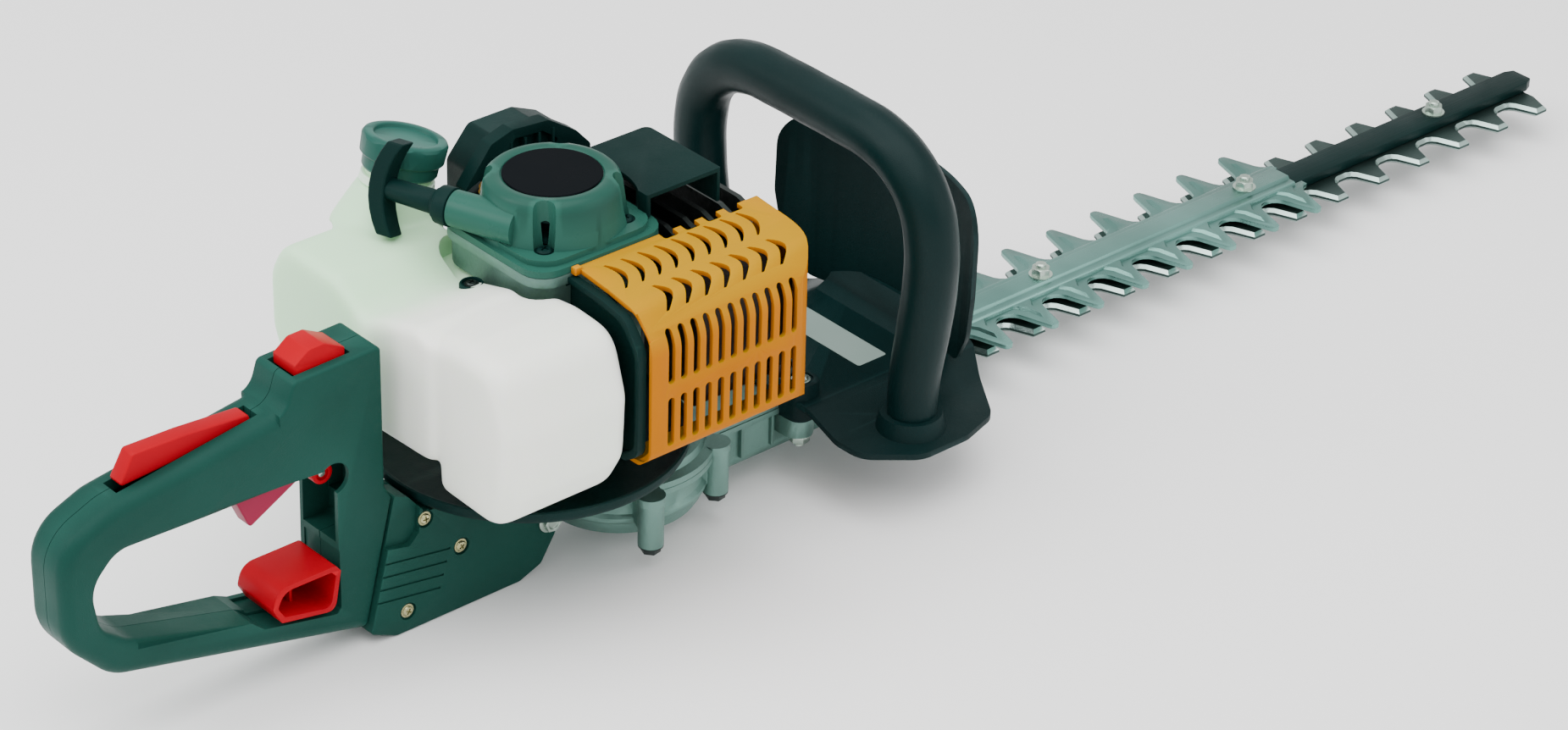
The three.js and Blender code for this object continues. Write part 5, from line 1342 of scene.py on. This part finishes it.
@dataclass
class RearGrip:
    """The swivelling rear handle in two halves, its controls and the bracket that carries it."""

    fasteners: Fasteners
    half: float = 16.0
    seam: float = 0.18
    tilt: float = 14.2
    pivot: Flat = (-346.0, 48.0)

    def build(self) -> None:
        """Make the bracket, the handle and its controls."""
        self._handle()
        self._bracket()
        self._trigger()
        self._lock()
        self._switch()
        self._lever()
        self._screws()

    def seam_x(self, z: float) -> float:
        """Where the swivel's seam crosses a height."""
        return self.pivot[0] + (z - self.pivot[1]) * math.tan(math.radians(self.tilt))

    def _outside(self) -> list[Flat]:
        """The handle's outer outline in side view."""
        return rounded([
            (-342.5, 168.0, 2.5), (-394.0, 166.6, 3.5), (-399.0, 151.4, 12.0), (-420.0, 148.4, 20.0),
            (-498.0, 136.8, 30.0), (-528.8, 124.0, 26.0), (-528.8, 70.0, 30.0), (-503.0, 43.0, 26.0),
            (self.seam_x(8.0) - 0.7, 8.2, 0.0), (self.seam_x(80.0) - 0.7, 80.0, 0.0), (-342.5, 88.0, 4.0)], 8)

    def _hollow(self, near: bool) -> list[Flat]:
        """The finger opening; the right half is cut back further, round the trigger's pivot and the lever."""
        grip = [(-371.0, 110.4, 5.0), (-446.0, 110.6, 20.0), (-497.0, 112.0, 16.0), (-512.0, 97.0, 18.0),
                (-508.0, 72.0, 16.0), (-492.0, 60.0, 18.0), (-424.5, 41.6, 3.0)]
        if near:
            return rounded([*grip, (-417.0, 35.0, 1.0), (-373.0, 25.5, 2.0), (-371.6, 29.0, 2.0)], 8)
        return rounded([*grip, (-417.0, 38.0, 2.0), (-372.0, 30.0, 2.0)], 8)

    def _handle(self) -> None:
        """Both half shells."""
        for near, node in ((True, "rear_handle_right"), (False, "rear_handle_left")):
            side = -1.0 if near else 1.0
            depth = (self.seam * side, self.half * side)
            piece = slab("visual_" + node, self._outside(), Plane.SIDE, (min(depth), max(depth)))
            piece = cut(piece, slab("opening", self._hollow(near), Plane.SIDE, (-40.0, 40.0)))
            piece = self._round_outline(piece, side, self._hollow(near))
            inner = (min(side * 12.8, 0.0), max(side * 12.8, 0.0))
            rooms = [
                slab("room", rounded([(-347.0, 163.0, 2), (-390.0, 162.0, 2), (-396.0, 146.6, 2),
                                      (-484.0, 132.0, 4), (-500.0, 121.0, 4), (-494.0, 117.0, 2),
                                      (-388.0, 116.4, 2), (-383.0, 114.0, 2), (-383.0, 98.0, 2),
                                      (-370.0, 96.0, 2), (-370.0, 80.0, 2), (-347.0, 80.0, 2)], 3),
                     Plane.SIDE, inner),
                slab("lock_slot", rounded([(-490.0, 130.0, 0), (-490.0, 165.0, 0), (-409.0, 165.0, 0),
                                           (-409.0, 140.0, 0)], 1), Plane.SIDE, (-5.6, 5.6)),
                slab("switch_slot", block((-391.0, -357.0), (160.0, 175.0), 0.0), Plane.SIDE, (-10.4, 10.4)),
                slab("trigger_slot", rounded([(-433.0, 120.0, 0), (-433.0, 104.0, 0), (-366.0, 90.0, 0),
                                              (-366.0, 120.0, 0)], 1), Plane.SIDE, (-6.6, 6.6)),
                slab("bay", rounded([(-418.0, 64.0, 0), (-371.0, 62.0, 0), (-371.0, 27.0, 2),
                                     (-418.0, 36.5, 2)], 3), Plane.SIDE, (-30.0, 12.8)),
                slab("well", block((-374.0, -356.0), (66.0, 114.0), 3.0), Plane.SIDE, (-13.4, 13.4))]
            if near:
                rooms.append(bar("ring_bay", (-373.0, -20.0, 104.0), (-373.0, -5.6, 104.0), 9.0, sides=40))
            piece = cut(piece, *rooms)
            dress(shade(piece, 32.0), DARK, "rear_handle", "dark_plastic", node)

    def _round_outline(self, piece: Piece, side: float, hollow: list[Flat]) -> Piece:
        """Round the half's outer edge generously, and its opening a little less."""
        face = side * self.half
        for region, width, segments in (("grip", 7.0, 7), ("opening", 4.5, 5), ("post", 1.5, 3)):
            alone(piece)
            bpy.ops.object.mode_set(mode="EDIT")
            bpy.ops.mesh.select_all(action="DESELECT")
            bpy.ops.object.mode_set(mode="OBJECT")
            points = piece.data.vertices
            for edge in piece.data.edges:
                ends = [points[i].co / MM for i in edge.vertices]
                on_face = all(abs(p.y - face) < 0.02 for p in ends)
                edge.select = on_face and self._region(ends, hollow) == region
            bpy.ops.object.mode_set(mode="EDIT")
            bpy.ops.mesh.select_mode(type="EDGE")
            bpy.ops.mesh.bevel(offset=width * MM, offset_type="OFFSET", segments=segments, affect="EDGES",
                               clamp_overlap=False)
            bpy.ops.mesh.select_mode(type="VERT")
            bpy.ops.object.mode_set(mode="OBJECT")
        return piece

    def _region(self, ends: list[Vector], hollow: list[Flat]) -> str:
        """The part of the outline that an edge belongs to."""
        if all(self._gap(p, hollow) < 0.05 for p in ends):
            well_rounded = all(p.x < (-375.5 if p.z > 90.0 else -427.0) for p in ends)
            return "opening" if well_rounded else "recess"
        outside = self._outside()
        if any(self._gap(p, outside) > 0.05 for p in ends):
            return "inside"
        return "grip" if all(self._on_grip(p) for p in ends) else "post"

    def _gap(self, p: Vector, outline: list[Flat]) -> float:
        """How far a point is from an outline, in side view."""
        here = Vector((p.x, p.z))
        nearest = 1e9
        for i, start in enumerate(outline):
            a, b = Vector(outline[i - 1]), Vector(start)
            run = b - a
            share = max(0.0, min(1.0, (here - a).dot(run) / max(run.length_squared, 1e-9)))
            nearest = min(nearest, (a + run * share - here).length)
        return nearest

    def _on_grip(self, p: Vector) -> bool:
        """True for a point behind the post, where the outline is well rounded."""
        return p.x < -403.0 if p.z > 90.0 else p.x < -352.0

    def _bracket(self) -> None:
        """Both halves of the bracket, with grooves, screw recesses and the step beside the seam."""
        outline = rounded([
            (self.seam_x(80.0) + 0.7, 80.0, 1.0), (-329.0, 76.5, 2.0), (-323.0, 69.0, 1.5), (-296.0, 59.0, 4.0),
            (-252.0, 44.0, 4.0), (-237.0, 38.0, 4.0), (-236.4, 24.0, 4.0), (-248.0, 5.4, 5.0), (-262.0, 0.0, 3.0),
            (-340.0, 0.0, 7.0), (self.seam_x(7.0) + 0.7, 7.0, 2.0)], 6)
        for side, node in ((-1.0, "handle_bracket_right"), (1.0, "handle_bracket_left")):
            depth = (self.seam * side, 19.6 * side)
            piece = slab("visual_" + node, outline, Plane.SIDE, (min(depth), max(depth)))
            piece = soften(piece, 1.3, 3)
            tools = [
                slab("step", rounded([(-358.0, 90.0, 0), (-323.0, 90.0, 0), (-325.0, 56.0, 2), (-331.0, 50.0, 3),
                                      (-358.0, 56.0, 0)], 4), Plane.SIDE, (min(side * 16.2, side * 30.0),
                                                                           max(side * 16.2, side * 30.0))),
                slab("lug_bay", block((-265.0, -230.0), (-14.0, 14.0), 0.0), Plane.PLAN, (-4.0, 80.0)),
                bar("crank_clear", (-224.0, 0.0, 41.6), (-224.0, 0.0, 120.0), 40.9, sides=64),
                bar("tray_clear", (-241.0, 0.0, 66.0), (-241.0, 0.0, 120.0), 84.0, sides=64)]
            for x, z in ((-321.0, 62.0), (-299.0, 37.0), (-333.0, 12.0)):
                tools.append(bar("recess", (x, side * 18.0, z), (x, side * 26.0, z), 4.9, 5.1, 28))
            tools += self._grooves(side, -357.6, -306.0)
            piece = shade(cut(piece, *tools), 32.0)
            dress(piece, DARK, "chassis", "dark_plastic", node)

    def _grooves(self, side: float, start: float, end: float) -> list[Piece]:
        """Cutters for the four grooves that run on across the seam."""
        made = []
        for i in range(4):
            low = 47.5 - i * 7.3
            far = end - i * 2.2
            drop = math.tan(math.radians(-9.0))
            lift = low + (far - start) * drop
            outline = [(start, low), (far, lift), (far, lift - 1.2), (start, low - 1.2)]
            made.append(slab("groove", outline, Plane.SIDE, (min(side * 18.8, side * 26.0),
                                                             max(side * 18.8, side * 26.0))))
        return made

    def _trigger(self) -> None:
        """The throttle trigger with its ring boss and steel pin."""
        outline = rounded([(-426.0, 112.0, 1.0), (-415.4, 88.0, 1.6), (-383.0, 105.6, 4.0), (-375.0, 101.0, 1.0),
                           (-374.0, 107.0, 1.0), (-381.0, 113.6, 1.5), (-424.0, 113.6, 1.0)], 4)
        piece = soften(slab("visual_throttle_trigger", outline, Plane.SIDE, (-5.2, 5.2)), 0.9, 3)
        dress(piece, PINK_RED, "throttle_trigger", "red_plastic", "throttle_trigger")
        ring = bar("trigger_ring", (-373.0, -7.0, 103.0), (-373.0, 5.2, 103.0), 5.8, sides=36)
        hole = bar("hole", (-373.0, -20.0, 103.0), (-373.0, -5.4, 103.0), 3.4, sides=28)
        dress(soften(cut(ring, hole), 0.6, 3), RED, "throttle_trigger", "red_plastic")
        pin = soften(bar("trigger_pin", (-373.0, -6.4, 103.0), (-373.0, 9.0, 103.0), 2.1, sides=24), 0.4, 2)
        dress(pin, ZINC, "throttle_trigger", "zinc_steel")

    def _lock(self) -> None:
        """The wedge that has to be squeezed before the trigger moves."""
        outline = rounded([(-488.0, 139.4, 1.5), (-479.0, 154.6, 2.0), (-450.0, 154.0, 30.0), (-413.5, 151.4, 2.0),
                           (-412.0, 147.5, 1.0), (-430.0, 143.5, 1.0)], 4)
        piece = soften(slab("visual_throttle_lock", outline, Plane.SIDE, (-4.9, 4.9)), 1.0, 3)
        dress(piece, RED, "throttle_lock", "red_plastic", "throttle_lock")

    def _switch(self) -> None:
        """The rocker with its raised middle."""
        outline = rounded([(-388.4, 164.6, 0.5), (-388.4, 170.6, 1.0), (-380.0, 176.6, 3.0),
                           (-371.0, 176.8, 3.0), (-359.0, 170.6, 1.0), (-359.0, 164.6, 0.5)], 4)
        piece = soften(slab("visual_stop_switch", outline, Plane.SIDE, (-9.0, 9.0)), 0.8, 3)
        dress(piece, RED, "stop_switch", "red_plastic", "stop_switch")

    def _lever(self) -> None:
        """The hollow lever that frees the handle to swivel, with a web inside."""
        outer = rounded([(-411.0, 57.0, 9.0), (-376.0, 57.0, 2.5), (-373.0, 53.0, 1.0), (-377.0, 31.0, 5.0),
                         (-409.0, 37.0, 2.0), (-414.0, 46.0, 4.0)], 6)
        inner = rounded([(-407.0, 54.2, 8.0), (-378.6, 54.0, 1.8), (-376.0, 51.0, 0.8), (-379.6, 33.8, 4.0),
                         (-407.0, 39.6, 2.0), (-411.0, 46.0, 3.0)], 6)
        piece = slab("visual_swivel_lock_lever", outer, Plane.SIDE, (-19.4, 11.0))
        piece = cut(piece, slab("inner", inner, Plane.SIDE, (-30.0, 6.0)))
        web = slab("web", [(-395.0, 56.0), (-393.4, 56.0), (-393.4, 34.0), (-395.0, 34.0)], Plane.SIDE,
                   (-6.0, 7.0))
        piece = soften(fuse(piece, web), 0.7, 3, 34.0)
        dress(piece, RED, "swivel_lock_lever", "red_plastic", "swivel_lock_lever")

    def _screws(self) -> None:
        """The screws that hold the halves together, and the bracket's bolt."""
        for i, (x, z) in enumerate(((-321.0, 62.0), (-299.0, 37.0), (-333.0, 12.0))):
            self.fasteners.put("small", f"bracket_screw_{i}", (x, -18.2, z), (0.0, -1.0, 0.0), GOLD_ZINC,
                               "chassis", 30.0 * i)
        self.fasteners.put("hex", "visual_bracket_bolt", (-243.0, -19.9, 30.0), (0.0, -1.0, 0.0), ZINC,
                           "chassis", nodes=("bracket_bolt",))
        self.fasteners.put("nut", "bracket_nut", (-243.0, 19.9, 30.0), (0.0, 1.0, 0.0), ZINC, "chassis")


# ---------------------------------------------------------------- studio


@dataclass
class Studio:
    """The floor, the soft lights and the camera."""

    eye: Point = (-1461.27, -1563.80, 1291.97)
    yaw: float = 48.291
    pitch: float = 30.7225
    roll: float = 1.3763
    lens: float = 105.0

    def build(self) -> None:
        """Set up the studio."""
        self._floor()
        self._world()
        self._lamp("key_light", (-500.0, -200.0, 1900.0), 2400.0, 56.0)
        self._lamp("fill_light", (900.0, -1700.0, 1000.0), 1600.0, 12.0)
        self._lamp("rim_light", (-1600.0, 700.0, 1300.0), 900.0, 14.0)
        self._camera()

    def _floor(self) -> None:
        """A plain pale floor."""
        bpy.ops.object.select_all(action="DESELECT")
        bpy.ops.mesh.primitive_plane_add(size=14.0, location=(0.0, 0.0, -0.0002))
        floor = bpy.context.object
        floor.name = "floor"
        mix = Mixer("floor_paper")
        mix.feed(mix.shader.inputs["Base Color"], (0.94, 0.94, 0.94, 1.0))
        mix.feed(mix.shader.inputs["Roughness"], 0.85)
        floor.data.materials.append(mix.material)

    def _world(self) -> None:
        """Even white light from all round."""
        world = bpy.data.worlds.new("studio")
        bpy.context.scene.world = world
        world.use_nodes = True
        sky = next(n for n in world.node_tree.nodes if n.type == "BACKGROUND")
        sky.inputs["Color"].default_value = (1.0, 1.0, 1.0, 1.0)
        sky.inputs["Strength"].default_value = 1.1

    def _lamp(self, name: str, place: Point, size: float, watts: float) -> None:
        """A square soft light that faces the machine."""
        light = bpy.data.lights.new(name, "AREA")
        light.size = size * MM
        light.energy = watts
        lamp = bpy.data.objects.new(name, light)
        bpy.context.scene.collection.objects.link(lamp)
        lamp.location = Vector(place) * MM
        lamp.rotation_euler = (Vector((-0.1, 0.0, 0.05)) - lamp.location).to_track_quat("-Z", "Y").to_euler()

    def _camera(self) -> None:
        """The camera, rolled by a degree or so."""
        yaw, pitch, roll = (math.radians(a) for a in (self.yaw, self.pitch, self.roll))
        ahead = Vector((math.cos(yaw) * math.cos(pitch), math.sin(yaw) * math.cos(pitch), -math.sin(pitch)))
        right = Vector((math.sin(yaw), -math.cos(yaw), 0.0))
        up = right.cross(ahead)
        across = right * math.cos(roll) + up * math.sin(roll)
        over = up * math.cos(roll) - right * math.sin(roll)
        lens = bpy.data.cameras.new("camera")
        lens.lens = self.lens
        lens.sensor_width = 36.0
        lens.clip_end = 50.0
        camera = bpy.data.objects.new("camera", lens)
        bpy.context.scene.collection.objects.link(camera)
        camera.matrix_world = Matrix.Translation(Vector(self.eye) * MM) @ Matrix(
            (across, over, -ahead)).transposed().to_4x4()
        bpy.context.scene.camera = camera


def dress_carried_over() -> None:
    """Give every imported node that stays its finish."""
    for node, finish in CARRIED_OVER.items():
        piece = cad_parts[node]
        material = finish.material()
        if not piece.material_slots:
            piece.data.materials.append(material)
        for i in range(len(piece.material_slots)):
            piece.material_slots[i].material = material


def main() -> None:
    """Build the machine, assembly by assembly."""
    logging.basicConfig(level=logging.INFO, format="%(message)s")
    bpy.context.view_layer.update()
    fasteners = Fasteners()
    fasteners.build()
    assemblies = [Cutter(fasteners), GearCase(fasteners), Engine(fasteners), FuelSystem(fasteners),
                  ExhaustGuard(), FrontGrip(fasteners), RearGrip(fasteners)]
    for assembly in assemblies:
        assembly.build()
        LOG.info("built %s", type(assembly).__name__)
    fasteners.clear()
    dress_carried_over()
    Studio().build()


if __name__ == "__main__":
    main()
